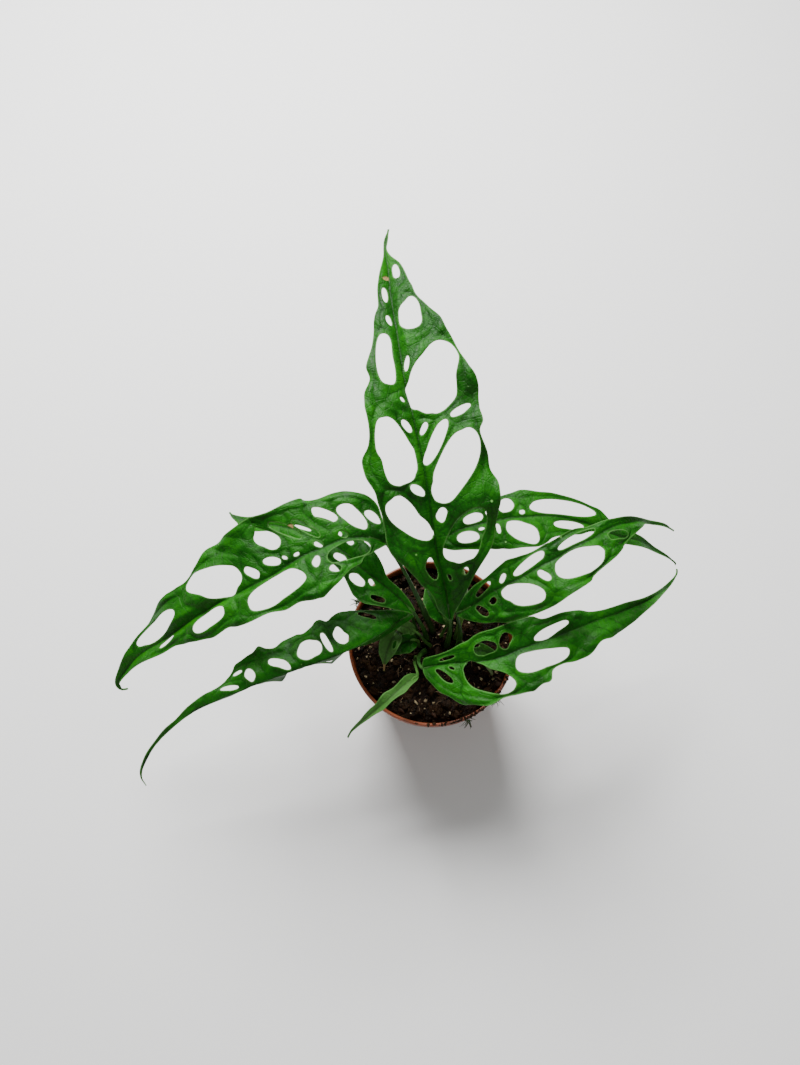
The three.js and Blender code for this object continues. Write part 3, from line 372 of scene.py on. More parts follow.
SCARS = {
    "leaf_left": [(50, -18.5, 1.6)],
    "leaf_upright": [(211, 2, 2.2)],
    "leaf_young_drooping": [(30, 0, 4)],
}

# How far each young leaf's green is from the large leaves' green towards pale olive: partly the young
# leaves' own paler colour, partly painted light, as the drooping and centre leaves, which lie in shade
# under the larger leaves, are made paler so that they look lit

YOUNG_PALENESS_AND_PAINTED_LIGHT = {
    "leaf_young_twisted": 0.42,
    "leaf_young_drooping": 0.5,
    "leaf_young_low": 0.0,
    "leaf_young_centre": 0.6,
    "leaf_young_rear": 0.0,
    "leaf_young_right": 0.15,
}

# The rolled new leaf, and the aerial root that leaves the middle right leaf's petiole

SPEAR = {
    "foot": (15.5, 3.5),
    "path": [(17, 9, 100), (19, 17, 115), (18, 26, 130), (16, 34, 142)],
    "radii": (1.6, 1.6, 1.6, 1.7, 2.3, 2.2, 0.4),
}
AERIAL_ROOT = {
    "foot": (37, -19),
    "path": [(17, -1, 95), (22, -4, 94), (29, -10, 92)],
    "radii": (1.1, 0.9),
    "depth": 6,
}

# Petioles: radii at the foot and below the blade, and where they run under it, in millimetres;
# depths of the groove, the sheath's wings and the swelling are shares of the radius

LARGE_RADII = (1.8, 1.1)
YOUNG_RADII = (1.3, 0.8)
PETIOLE_END_RADIUS = 0.8
PETIOLE_UNDER_BLADE = (0, 5, 11)
PETIOLE_SINK = 0.6
PETIOLE_GROOVE = 0.2
SHEATH_WINGS = 0.3
SWELLING = 0.16
SWELLING_PLACE = 0.84
FOOT_DEPTH = 16
FOOT_STRAIGHT = 3

# Outlines of blades, lengths in millimetres; a pair is where a smooth step starts and ends

LARGE_LEAF_LENGTH = 80
FULL_RELIEF_REACH = 25
TIP_HALF_WIDTH = 0.5
TIP_CUT = 0.5
HOLE_SQUARENESS = 2.3
HOLE_STRAY = 0.06
MARGIN_STRAY = 0.8
ROOM_TO_STRAY = (2, 9)
NEAR_MARGIN = (12, 0)
BROAD_ENOUGH = (2, 12)
FOLD_ROUNDING = 1.2
WAVE_LAG = 0.37
FAR = 1e3

# Veins and relief of blades, lengths in millimetres; a pair is where a smooth step starts and ends

STRIP = (10, 4)
CLEAR_OF_HOLES = (2.5, 6)
CLEAR_OF_MARGIN = (0.3, 3)
VEIN_LEAN = 0.8
VEIN_BEND = 0.006
VEIN_STAGGER = 0.35
VEIN_DRIFT = 0.15
VEIN_HALF_WIDTH = 0.5
VEIN_GROOVE = 0.16
VEIN_DEPTH = 0.3
RIB_LINE_HALF_WIDTH = 0.75
RIB_GROOVE = 0.35
RIB_DEPTH = 0.9
RIB_HALF_WIDTH = 1.6
GUTTER_ROUNDING = 0.7
GUTTER_REACH = 3.4
VALLEY_ROUNDING = 0.8
VALLEY_REACH = 3
SWELL_REACH = 3.5
ROLL_WIDTH = 5
CURL_WIDTH = 2.2
FINE_RELIEF = 0.08
EDGE_BULGE = 0.12
PATTERN_STEP = 40.0

# Numbers of sides of what is round, and steps in millimetres along it

PETIOLE_SIDES = 32
PETIOLE_STEP = 0.8
SPEAR_SIDES = 48
SPEAR_STEP = 0.6
ROOT_SIDES = 20
ROOT_STEP = 0.4
FIBRE_SIDES = 6
POT_SECTORS = 192
SOIL_SECTORS = 360
SOIL_RINGS = 90

# The pot's wall and floor, in millimetres

POT_WALL = 1.6
COLLAR_BOTTOM = 81
COLLAR_STEP = 2.2
COLLAR_WALL = 1.9
LOWER_WALL = 1.3
POT_FLOOR = 2
DRAIN_HOLES = 8
DRAIN_HOLE_RADIUS = 4
DRAIN_RING_RADIUS = 28
FOOT_RING_WIDTH = 3
LIP_RADIUS = 0.95
FLOOR_CELL = 0.9

# Heaps of the soil's top: height, turn per millimetre along x and y, and start

SOIL_HEAPS = (
    (1.1, 0.31, 0.05, 1.1),
    (0.9, -0.06, 0.27, 0.4),
    (0.8, 0.53, -0.47, 0.0),
)

# The soil's gap to the pot, its middle ring and its lower edge, how far lumps and fibres reach on it,
# least and most of fibres and moss sprigs, the side where soil was spilled on the lip, and the feet of
# the moss tufts there

SOIL_GAP = 0.3
SOIL_MIDDLE = 0.6
SOIL_EDGE = (46, 50)
SOIL_EDGE_DROP = 1.6
SOIL_REACH = 48.5
FIBRE_START_REACH = 46
FIBRE_REACH = 49
FIBRE_LENGTHS = (2.5, 9)
FIBRE_RADII = (0.1, 0.28)
SPRIG_LENGTHS = (2, 6.5)
SPRIG_RADII = (0.14, 0.34)
SPILL_ANGLE = math.radians(-52)
SPILL_SPREAD = 0.32
LIP_SCATTER = 0.75
DENT_DEPTH = 0.28
MOSTLY_SMALL = 2.2
TUFTS = ((38.5, -35.5), (20.5, -48), (-46, 25))

# Tones: darker, lighter, and base or speck

LARGE_STALK_TONES = (0.01, 0.045, 0.006), (0.03, 0.11, 0.012), (0.02, 0.018, 0.008)
YOUNG_STALK_TONES = (0.02, 0.08, 0.01), (0.08, 0.2, 0.035), (0.04, 0.045, 0.018)
NEW_LEAF_TONES = (0.07, 0.2, 0.03), (0.2, 0.36, 0.08), (0.06, 0.1, 0.03)
AERIAL_ROOT_TONES = (0.09, 0.14, 0.05), (0.22, 0.3, 0.13), (0.12, 0.09, 0.05)
PEAT_TONES = (0.004, 0.0018, 0.0005), (0.036, 0.0155, 0.0042), (0.3, 0.2, 0.1)
BARK_TONES = (0.012, 0.006, 0.003), (0.06, 0.025, 0.011)
GRIT_TONES = (0.2, 0.14, 0.07), (0.52, 0.42, 0.25)
FIBRE_TONES = (0.07, 0.04, 0.022), (0.3, 0.2, 0.11)
MOSS_TONES = (0.006, 0.014, 0.004), (0.035, 0.06, 0.014)
SCAR_TAN = (0.32, 0.2, 0.09)
RUBBED_PLASTIC = (0.38, 0.15, 0.075)
DIRT = (0.03, 0.018, 0.012)

# The two soft lights (place and size), what they look at, and the floor's size, in metres; the width
# of the camera's frame in millimetres and the nearest thing it sees in metres

KEY_LIGHT = (-0.25, 0.85, 1.0), 0.6
FILL_LIGHT = (0.4, -0.9, 0.9), 0.9
PLANT_MIDDLE = (0, 0.03, 0.12)
FLOOR_SIZE = 6
FRAME_WIDTH = 36
NEAREST_VIEW = 0.01


# Numbers and curves


def smooth_step(value, low, high):
    """0 below low, 1 above high, and 3t^2 - 2t^3 between; low may be the larger one."""
    t = np.clip((value - low) / (high - low), 0, 1)
    return t * t * (3 - 2 * t)


def unit(vectors):
    """Vectors divided by their lengths."""
    return vectors / np.linalg.norm(vectors, axis=-1, keepdims=True)


def bell(value, width):
    """1 at zero, falling off to both sides as exp(-(value / width)^2)."""
    return np.exp(-(value / width) ** 2)


def rounded_rise(distance, rounding, reach):
    """0 at zero, rising to both sides towards 1 as 1 - exp(-distance / reach), with a round bottom."""
    return 1 - np.exp(-np.maximum(np.hypot(distance, rounding) - rounding, 0) / reach)


def full_turn(count):
    """Angles at even steps round a full turn."""
    return np.linspace(0, 2 * np.pi, count, endpoint=False)


def lattice_noise(x, y, seed):
    """Smooth noise from -1 to 1: seeded random values on a square lattice, eased between corners."""
    size = 64
    table = np.random.default_rng(seed).uniform(-1, 1, (size, size))
    column, row = np.floor(x).astype(int), np.floor(y).astype(int)
    u = smooth_step(x - column, 0, 1)
    v = smooth_step(y - row, 0, 1)
    left, right = column % size, (column + 1) % size
    below, above = row % size, (row + 1) % size
    near = table[left, below] * (1 - u) + table[right, below] * u
    far = table[left, above] * (1 - u) + table[right, above] * u
    return near * (1 - v) + far * v


def catmull_rom(points, per_span=24):
    """Smooth path through points: a uniform Catmull-Rom spline whose end tangents follow the ends."""
    points = np.asarray(points, float)
    padded = np.vstack([2 * points[0] - points[1], points, 2 * points[-1] - points[-2]])
    before, start = padded[:-3, None], padded[1:-2, None]
    end, after = padded[2:-1, None], padded[3:, None]
    t = np.linspace(0, 1, per_span, endpoint=False)[None, :, None]
    spans = 0.5 * (
        2 * start + (end - before) * t
        + (2 * before - 5 * start + 4 * end - after) * t**2
        + (3 * start - before - 3 * end + after) * t**3
    )
    return np.vstack([spans.reshape(-1, points.shape[1]), points[-1:]])


def arc_lengths(path):
    """Distance along a path to each of its points."""
    return np.concatenate([[0], np.cumsum(np.linalg.norm(np.diff(path, axis=0), axis=1))])


def at_length(path, lengths, at):
    """Points of a path at distances along it."""
    return np.stack([np.interp(at, lengths, path[:, axis]) for axis in range(path.shape[1])], -1)


def even_path(points, step):
    """The smooth path through points, taken at even steps."""
    path = catmull_rom(points)
    lengths = arc_lengths(path)
    return at_length(path, lengths, np.linspace(0, lengths[-1], max(int(lengths[-1] / step), 8) + 1))


def foot_points(foot, depth, soil_top):
    """The upright start of anything that stands in the soil."""
    heights = (soil_top - depth, soil_top - depth / 2, soil_top + FOOT_STRAIGHT)
    return [(foot[0], foot[1], z) for z in heights]


# Meshes


def build_mesh(name, vertices, faces, attributes=None):
    """Object of a mesh from vertices in millimetres, arrays of faces, and values at the vertices."""
    mesh = bpy.data.meshes.new(name)
    corners = np.concatenate([part.ravel() for part in faces]).astype(np.int32)
    sizes = np.concatenate([np.full(len(part), part.shape[1]) for part in faces])
    starts = np.concatenate([[0], np.cumsum(sizes)[:-1]]).astype(np.int32)
    mesh.vertices.add(len(vertices))
    mesh.vertices.foreach_set("co", (vertices * MM).astype(np.float32).ravel())
    mesh.loops.add(len(corners))
    mesh.loops.foreach_set("vertex_index", corners)
    mesh.polygons.add(len(starts))
    mesh.polygons.foreach_set("loop_start", starts)
    mesh.polygons.foreach_set("use_smooth", np.ones(len(starts), bool))
    for title, values in (attributes or {}).items():
        vector = values.ndim == 2
        layer = mesh.attributes.new(title, "FLOAT_VECTOR" if vector else "FLOAT", "POINT")
        layer.data.foreach_set("vector" if vector else "value", values.astype(np.float32).ravel())
    mesh.update(calc_edges=True)
    if mesh.validate():
        raise RuntimeError(f"{name} has faces that Blender had to mend")
    piece = bpy.data.objects.new(name, mesh)
    bpy.context.scene.collection.objects.link(piece)
    return piece


def dress(piece, material, node):
    """Gives a piece its material and its place in the frame, and lets it stand for a CAD node."""
    piece.data.materials.append(material)
    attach(piece, "root")
    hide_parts(node)


def grid_faces(rows, columns, close_rows=False):
    """Quads of a grid that closes on itself across its columns, and along its rows where asked."""
    row = np.arange(rows if close_rows else rows - 1)[:, None]
    column = np.arange(columns)[None, :]
    next_row, next_column = (row + 1) % rows, (column + 1) % columns
    corners = (
        row * columns + column, row * columns + next_column,
        next_row * columns + next_column, next_row * columns + column,
    )
    return np.stack([np.broadcast_to(c, (len(row), columns)) for c in corners], -1).reshape(-1, 4)


def cap_faces(rows, columns):
    """Fans that close the first and last ring of a grid, whose middles are the two added vertices."""
    j = np.arange(columns)
    after = (j + 1) % columns
    first, last = rows * columns, rows * columns + 1
    top = (rows - 1) * columns
    start = np.stack([np.full(columns, first), after, j], -1)
    end = np.stack([np.full(columns, last), top + j, top + after], -1)
    return np.vstack([start, end])


def tube(centres, radius, across):
    """Closed tube: a ring of radius[row, angle] round each centre, turned so that the first angle
    lies as near as it can to the fixed direction across."""
    tangent = unit(np.gradient(centres, axis=0))
    across = np.asarray(across, float)
    side = unit(across - tangent * (tangent @ across)[:, None])
    over = np.cross(tangent, side)
    angle = full_turn(radius.shape[1])[None, :, None]
    ring = side[:, None] * np.cos(angle) + over[:, None] * np.sin(angle)
    points = centres[:, None] + ring * radius[..., None]
    vertices = np.vstack([points.reshape(-1, 3), centres[:1], centres[-1:]])
    return vertices, [grid_faces(*radius.shape), cap_faces(*radius.shape)]


def revolve(profile, sectors):
    """Points (profile, sector) of a profile of (radius, height) turned about the upright axis."""
    profile = np.asarray(profile, float)
    angle = full_turn(sectors)[None, :]
    radius, height = profile[:, :1], profile[:, 1:]
    return np.stack([
        radius * np.cos(angle), radius * np.sin(angle), np.broadcast_to(height, (len(profile), sectors)),
    ], -1)


def corner_arc(centre, radius, start, end, points=7):
    """Round corner of a profile from one angle to another, in degrees."""
    angle = np.radians(np.linspace(start, end, points))
    return [tuple(p) for p in np.asarray(centre) + radius * np.stack([np.cos(angle), np.sin(angle)], -1)]


def vertex_normals(points, triangles):
    """Normals of a mesh's vertices, weighted by the area of the triangles round them."""
    a, b, c = (points[triangles[:, k]] for k in range(3))
    face = np.cross(b - a, c - a)
    total = np.stack([
        sum(np.bincount(triangles[:, k], face[:, axis], len(points)) for k in range(3))
        for axis in range(3)
    ], -1)
    return unit(total)


# Sheets: a plan cut out of the plane, laid on a surface and given a thickness

# Share of a cell within which a grid point moves onto the edge; step in millimetres that gives a
# slope; number of Newton steps; and the least square of a slope that they divide by

SNAP = 0.25
PROBE = 0.02
NEWTON_STEPS = 3
LEAST_SLOPE = 0.2


def settle(clearance, points, furthest):
    """Moves plan points onto the line where clearance is zero: Newton steps along its slope."""
    start = points.copy()
    for _ in range(NEWTON_STEPS):
        value = clearance(points)
        slope = np.stack([
            clearance(points + (PROBE, 0)) - clearance(points - (PROBE, 0)),
            clearance(points + (0, PROBE)) - clearance(points - (0, PROBE)),
        ], -1) / (2 * PROBE)
        size = np.maximum((slope**2).sum(-1), LEAST_SLOPE)
        points = points - slope * (value / size)[:, None]
        points = start + np.clip(points - start, -furthest, furthest)
    return points


def cut_plan(clearance, low, high, cell):
    """Triangles of the part of the plane where clearance(points) is positive. A square grid is split
    into triangles, grid points near the line of zero clearance move onto it, and each triangle that
    the line still crosses is cut there."""
    x, y = np.meshgrid(*(np.arange(a, b + cell, cell) for a, b in zip(low, high)), indexing="ij")
    points = np.stack([x.ravel(), y.ravel()], -1)
    value = clearance(points)
    near = np.abs(value) < SNAP * cell
    points[near] = settle(clearance, points[near], cell / 3)
    value[near] = 0

    index = np.arange(x.size).reshape(x.shape)
    a, b = index[:-1, :-1].ravel(), index[1:, :-1].ravel()
    c, d = index[1:, 1:].ravel(), index[:-1, 1:].ravel()
    even = np.add.outer(np.arange(x.shape[0] - 1), np.arange(x.shape[1] - 1)).ravel() % 2 == 0
    triangles = np.vstack([
        np.stack([a, b, np.where(even, c, d)], -1),
        np.stack([np.where(even, a, b), c, d], -1),
    ])
    sign = np.sign(value)[triangles]
    plus, minus = (sign > 0).sum(1), (sign < 0).sum(1)

    def turned(chosen, first):
        """Corners of the chosen triangles, starting with the one whose sign is first."""
        shift = np.argmax(sign[chosen] == first, axis=1)[:, None] + np.arange(3)
        return np.take_along_axis(triangles[chosen], shift % 3, axis=1).T

    edges = []

    def cut(p, q):
        """Numbers of the cut points on edges p to q; cut points are numbered after the grid's."""
        edges.append(np.stack([np.minimum(p, q), np.maximum(p, q)], -1))
        return x.size + sum(map(len, edges[:-1])) + np.arange(len(p))

    kept = [triangles[(minus == 0) & (plus > 0)]]
    p, m, n = turned((plus == 1) & (minus == 2), 1)
    kept.append(np.stack([p, cut(p, m), cut(n, p)], -1))
    m, p, q = turned((plus == 2) & (minus == 1), -1)
    first, second = cut(m, p), cut(q, m)
    kept += [np.stack([first, p, q], -1), np.stack([first, q, second], -1)]
    z, p, m = turned((plus == 1) & (minus == 1), 0)
    rising = value[p] > 0
    middle = cut(p, m)
    kept.append(np.stack([z, np.where(rising, p, middle), np.where(rising, middle, m)], -1))

    pairs, place = np.unique(np.vstack(edges), axis=0, return_inverse=True)
    share = (value[pairs[:, 0]] / (value[pairs[:, 0]] - value[pairs[:, 1]]))[:, None]
    crossing = points[pairs[:, 0]] * (1 - share) + points[pairs[:, 1]] * share
    points = np.vstack([points, settle(clearance, crossing, cell / 3)])
    triangles = np.vstack(kept)
    late = triangles >= x.size
    triangles[late] = x.size + place.ravel()[triangles[late] - x.size]
    used, triangles = np.unique(triangles, return_inverse=True)
    return points[used], triangles.reshape(-1, 3)


def open_edges(triangles, count):
    """Directed edges that only one triangle has."""
    edges = np.vstack([triangles[:, [0, 1]], triangles[:, [1, 2]], triangles[:, [2, 0]]])
    back = edges[:, 1].astype(np.int64) * count + edges[:, 0]
    return edges[~np.isin(back, edges[:, 0].astype(np.int64) * count + edges[:, 1])]


def thicken(points, triangles, upper, lower, bulge):
    """Closed sheet: one face moved out by upper and one by lower along the surface's normals, joined
    round every edge by a rounded wall whose middle stands out by bulge. Also returns, for each vertex
    of the sheet, its plan point and how far it is turned to the lower face, from 0 to 1."""
    count = len(points)
    normals = vertex_normals(points, triangles)
    edges = open_edges(triangles, count)
    outward = np.cross(points[edges[:, 1]] - points[edges[:, 0]], normals[edges[:, 0]])
    total = np.stack([
        sum(np.bincount(edges[:, end], outward[:, axis], count) for end in (0, 1))
        for axis in range(3)
    ], -1)
    rim = np.unique(edges)
    number = np.zeros(count, int)
    number[rim] = 2 * count + np.arange(len(rim))
    middle = (upper - lower)[rim, None] / 2
    wall = points[rim] + unit(total[rim]) * bulge + normals[rim] * middle
    vertices = np.vstack([points + normals * upper[:, None], points - normals * lower[:, None], wall])
    a, b = edges.T
    faces = [
        triangles,
        triangles[:, ::-1] + count,
        np.stack([b, a, number[a], number[b]], -1),
        np.stack([number[b], number[a], a + count, b + count], -1),
    ]
    source = np.concatenate([np.arange(count), np.arange(count), rim])
    turned = np.concatenate([np.zeros(count), np.ones(count), np.full(len(rim), 0.5)])
    return vertices, faces, source, turned


# Leaf blades


class Blade:
    """A leaf blade: its outline and perforations on the plan, and its surface in space."""

    def __init__(self, leaf, seed):
        """Smooth midrib and margins through the leaf's points."""
        self.leaf = leaf
        self.seed = seed
        self.path = catmull_rom(leaf["midrib"])
        self.lengths = arc_lengths(self.path)
        self.tangent = unit(np.gradient(self.path, axis=0))
        self.length = self.lengths[-1]
        self.left = catmull_rom(leaf["left"])
        self.right = catmull_rom(leaf["right"])
        self.reach = max(np.abs(np.vstack([leaf["left"], leaf["right"]])[:, 1]))

    def margin(self, points):
        """Distance inside the nearer margin: what is left of the half width, across the slope."""
        along, across = points.T

        def half_width(at):
            """Half width of the side that each point is on, at a distance along."""
            left, right = (
                np.interp(at, np.maximum.accumulate(outline[:, 0]), np.maximum(side * outline[:, 1], 0))
                for side, outline in ((1, self.left), (-1, self.right))
            )
            return np.where(across >= 0, left, right)

        width, ahead = half_width(along), half_width(along + 1)
        return (np.maximum(width, TIP_HALF_WIDTH) - np.abs(across)) / np.hypot(1, ahead - width)

    def hole(self, points, number):
        """Distance outside one perforation, a super-ellipse, and how much its outline strays there."""
        along, across, long, wide, lean, taper = self.leaf["holes"][number]
        cosine, sine = math.cos(math.radians(lean)), math.sin(math.radians(lean))
        x, y = (points - (along, across)).T
        p = (x * cosine + y * sine) / (long / 2)
        q = (y * cosine - x * sine) / (wide / 2 * (1 + taper * np.clip(p, -1, 1)))
        n = HOLE_SQUARENESS
        radius = np.maximum((np.abs(p) ** n + np.abs(q) ** n) ** (1 / n), 1e-6)
        steep_long = (np.abs(p) / radius) ** (n - 1) * 2 / long
        steep_wide = (np.abs(q) / radius) ** (n - 1) * 2 / wide
        slope = np.hypot(steep_long, steep_wide)
        angle = np.arctan2(q, p)
        waves = np.sin(3 * angle + number) + 0.6 * np.sin(4 * angle + 2.3 * number)
        stray = HOLE_STRAY * wide * waves
        return (radius - 1) / slope, stray

    def holes(self, points):
        """Distance outside every perforation and its stray, one row each."""
        rows = [self.hole(points, number) for number in range(len(self.leaf["holes"]))]
        return np.array(rows).reshape(-1, 2, len(points)).swapaxes(0, 1)

    def clearance(self, points):
        """Distance inside the blade: the least of those from its margins, holes and ends. Outlines
        stray from their plain forms only where the strip there is wide enough."""
        along, across = points.T
        ends = np.minimum(along, self.length - TIP_CUT - along)
        margin = self.margin(points)
        holes, strays = self.holes(points)
        plain = np.vstack([margin, holes, np.full((2, len(points)), FAR)])
        room = np.sort(plain, axis=0)[:2].sum(0)
        free = smooth_step(room, *ROOM_TO_STRAY)
        rough = MARGIN_STRAY * lattice_noise(along / 8, 7 * np.sign(across), self.seed)
        rough = rough * smooth_step(margin, *NEAR_MARGIN)
        rough = rough * smooth_step(margin + np.abs(across), *BROAD_ENOUGH)
        forms = np.vstack([margin + rough * free, holes + strays * free])
        return np.minimum(ends, forms.min(0))

    def veins(self, points):
        """Distance to the vein in the middle of a strip and how far the blade is a strip, and the
        same for the blade that no perforation is near, where veins leave the midrib at even steps
        and lean to the tip."""
        along, across = points.T
        margin = np.maximum(self.margin(points), 0)
        gaps, _ = self.holes(points)
        sides = np.sign([hole[1] for hole in self.leaf["holes"]]).reshape(-1, 1)
        gaps = np.where(sides * across >= 0, gaps, FAR)
        around = np.sort(np.vstack([gaps, margin, np.full(len(points), FAR)]), axis=0)
        between = (around[1] - around[0]) / 2
        strip = smooth_step(around[0], *STRIP)
        leaning = along - VEIN_LEAN * np.abs(across) - VEIN_BEND * across**2
        spacing = 6 + self.reach / 4
        drift = VEIN_DRIFT * lattice_noise(along / 15, across / 15, self.seed)
        phase = leaning / spacing + VEIN_STAGGER * (across < 0) + drift
        even = np.abs(phase - np.round(phase)) * spacing * 0.75
        nearest_hole = np.vstack([gaps, np.full(len(points), FAR)]).min(0)
        open_blade = smooth_step(nearest_hole, *CLEAR_OF_HOLES) * smooth_step(margin, *CLEAR_OF_MARGIN)
        return between, strip, even, open_blade

    def lift(self, points):
        """Angle of each half of the blade above the level, blended over the rounding of its fold."""
        along, across = points.T
        left, right = (np.array(self.leaf[key], float) for key in ("lift_left", "lift_right"))
        lifts = np.interp(along, *left.T), np.interp(along, *right.T)
        share = smooth_step(across, -FOLD_ROUNDING, FOLD_ROUNDING)
        return np.radians(lifts[1] + (lifts[0] - lifts[1]) * share)

    def place(self, points):
        """Points in space of plan points: out from the midrib by the distance across, at the angle
        of that half of the blade, with a swell that grows towards the margin."""
        along, across = points.T
        centre = at_length(self.path, self.lengths, along)
        forward = unit(at_length(self.tangent, self.lengths, along))
        sideways = unit(np.cross(UP, forward))
        upward = np.cross(forward, sideways)
        lift = self.lift(points)
        side = np.where(across >= 0, 1, -1)
        height, count, start = self.leaf["wave"]
        turns = count * along / self.length + start + WAVE_LAG * (side < 0)
        swell = height * (across / self.reach) ** 2 * np.sin(2 * np.pi * turns)
        distance = np.hypot(across, FOLD_ROUNDING) - FOLD_ROUNDING
        return (
            centre
            + sideways * (across * np.cos(lift) - side * swell * np.sin(lift))[:, None]
            + upward * (distance * np.sin(lift) + swell * np.cos(lift))[:, None]
        )


# Shaders


class Value:
    """A number socket in Python arithmetic: every operation adds its Math node."""

    def __init__(self, shader, socket):
        """Keeps the socket and the shader that it is in."""
        self.shader = shader
        self.socket = socket

    def math(self, operation, *values):
        """Result of one Math node on sockets and numbers."""
        inputs = dict(zip(("Value", "Value_001", "Value_002"), values))
        return self.shader.node("ShaderNodeMath", {"operation": operation}, inputs, "Value")

    def __add__(self, other):
        return self.math("ADD", self, other)

    def __radd__(self, other):
        return self.math("ADD", other, self)

    def __sub__(self, other):
        return self.math("SUBTRACT", self, other)

    def __rsub__(self, other):
        return self.math("SUBTRACT", other, self)

    def __mul__(self, other):
        return self.math("MULTIPLY", self, other)

    def __rmul__(self, other):
        return self.math("MULTIPLY", other, self)

    def between(self, low, high):
        """0 at low, 1 at high, eased; low may be the larger one."""
        rising = low < high
        span = {"From Min": min(low, high), "From Max": max(low, high)}
        ends = {"To Min": 0.0 if rising else 1.0, "To Max": 1.0 if rising else 0.0}
        settings, inputs = {"interpolation_type": "SMOOTHSTEP"}, {"Value": self, **span, **ends}
        return self.shader.node("ShaderNodeMapRange", settings, inputs, "Result")


class Shader:
    """The node tree of one material."""

    def __init__(self, name):
        """Starts a material with no nodes."""
        self.material = bpy.data.materials.new(name)
        self.material.use_nodes = True
        self.tree = self.material.node_tree
        self.tree.nodes.clear()

    def node(self, kind, settings, inputs, output=None):
        """Adds a node: its settings first, then values or links of its sockets; returns the output
        that is named, if any."""
        node = self.tree.nodes.new(kind)
        for title, setting in settings.items():
            setattr(node, title, setting)
        sockets = {socket.identifier: socket for socket in node.inputs}
        for title, given in inputs.items():
            if isinstance(given, Value):
                self.tree.links.new(given.socket, sockets[title])
            else:
                sockets[title].default_value = given
        outputs = {socket.identifier: socket for socket in node.outputs}
        return Value(self, outputs[output]) if output else None

    def attribute(self, name, output="Fac"):
        """A value that the mesh carries at its points."""
        return self.node("ShaderNodeAttribute", {"attribute_name": name}, {}, output)

    def place(self):
        """Object coordinates, in metres."""
        return self.node("ShaderNodeTexCoord", {}, {}, "Object")

    def stretched(self, vector, scale):
        """A vector scaled by its own amount along each axis."""
        inputs = {"Vector": vector, "Scale": scale}
        return self.node("ShaderNodeMapping", {}, inputs, "Vector")

    def noise(self, vector, scale, detail=3.0, roughness=0.55):
        """Cloudy noise from 0 to 1."""
        inputs = {"Vector": vector, "Scale": scale, "Detail": detail, "Roughness": roughness}
        return self.node("ShaderNodeTexNoise", {}, inputs, "Fac")

    def cells(self, vector, scale, feature="F1"):
        """Distance to the middle of a random cell, or to its edge."""
        inputs = {"Vector": vector, "Scale": scale}
        return self.node("ShaderNodeTexVoronoi", {"feature": feature}, inputs, "Distance")

    def mix(self, share, first, second):
        """Colour between first and second."""
        inputs = {"Factor_Float": share, "A_Color": opaque(first), "B_Color": opaque(second)}
        settings = {"data_type": "RGBA", "clamp_factor": True}
        return self.node("ShaderNodeMix", settings, inputs, "Result_Color")

    def bump(self, height, distance, strength):
        """Normal that follows a height."""
        inputs = {"Height": height, "Distance": distance, "Strength": strength}
        return self.node("ShaderNodeBump", {}, inputs, "Normal")

    def finish(self, colour, roughness, normal, gloss):
        """Joins the surface to the output; gloss is its specular level, which does not vary."""
        inputs = {
            "Base Color": colour, "Roughness": roughness, "Normal": normal, "Specular IOR Level": gloss,
        }
        surface = self.node("ShaderNodeBsdfPrincipled", {}, inputs, "BSDF")
        self.node("ShaderNodeOutputMaterial", {}, {"Surface": surface})
        return self.material


def opaque(colour):
    """A colour of three numbers as the four that a socket takes; anything else as it is."""
    return colour if isinstance(colour, Value) else (*tuple(colour)[:3], 1.0)


def blade_material(name, deep, bright, under, pale):
    """Waxy leaf: clouded greens, grooved lateral veins and midrib, a fine net of veinlets, pale thin
    edges, a duller lower face, and a few pale scars and scuffs."""
    s = Shader(name)
    plan, place = s.attribute("plan", "Vector"), s.place()
    edge, vein, rib, lower, scar = (
        s.attribute(title) for title in ("edge", "vein", "rib", "lower", "scar"))
    cloud = s.noise(place, 42.0, 3.0).between(0.3, 0.7)
    mottle = s.noise(plan, 260.0, 4.0, 0.6).between(0.25, 0.75)
    streak = s.noise(s.stretched(plan, (60.0, 420.0, 60.0)), 1.0, 2.0).between(0.3, 0.7)
    veinlets = s.cells(plan, 620.0, "DISTANCE_TO_EDGE").between(0.16, 0.02)
    net = s.cells(plan, 190.0, "DISTANCE_TO_EDGE").between(0.07, 0.0)
    tone = cloud * 0.5 + mottle * 0.35 + streak * 0.15
    colour = s.mix(tone, deep, bright)
    colour = s.mix(net * 0.22 + veinlets * 0.12, colour, deep)
    colour = s.mix(vein * 0.5, colour, [c * 0.75 for c in deep])
    colour = s.mix(rib * 0.75, colour, [c * 0.55 for c in deep])
    colour = s.mix(lower, colour, under)
    scuff = s.noise(s.stretched(plan, (70.0, 300.0, 100.0)), 1.0, 5.0, 0.7).between(0.62, 0.78)
    colour = s.mix(scuff * 0.22, colour, pale)
    speck = s.cells(plan, 62.0).between(0.055, 0.03)
    colour = s.mix(speck * 0.7, colour, [min(c * 2.2, 0.8) for c in pale])
    rim = edge.between(0.7, 0.1)
    colour = s.mix(rim * 0.38, colour, pale)
    fine = s.noise(plan, 1500.0, 3.0)
    dry = (scar + (mottle - 0.5) * 0.5).between(0.35, 0.65) * scar.between(0.0, 0.3)
    colour = s.mix(dry * 0.85, colour, SCAR_TAN)
    roughness = 0.44 + mottle * 0.1 + scuff * 0.12 + lower * 0.15 + rim * 0.06 + dry * 0.2
    height = fine * 0.12 - veinlets * 0.3 - net * 0.5 + mottle * 0.4 - dry
    normal = s.bump(height, 0.0003, 0.75)
    return s.finish(colour, roughness, normal, 0.12)


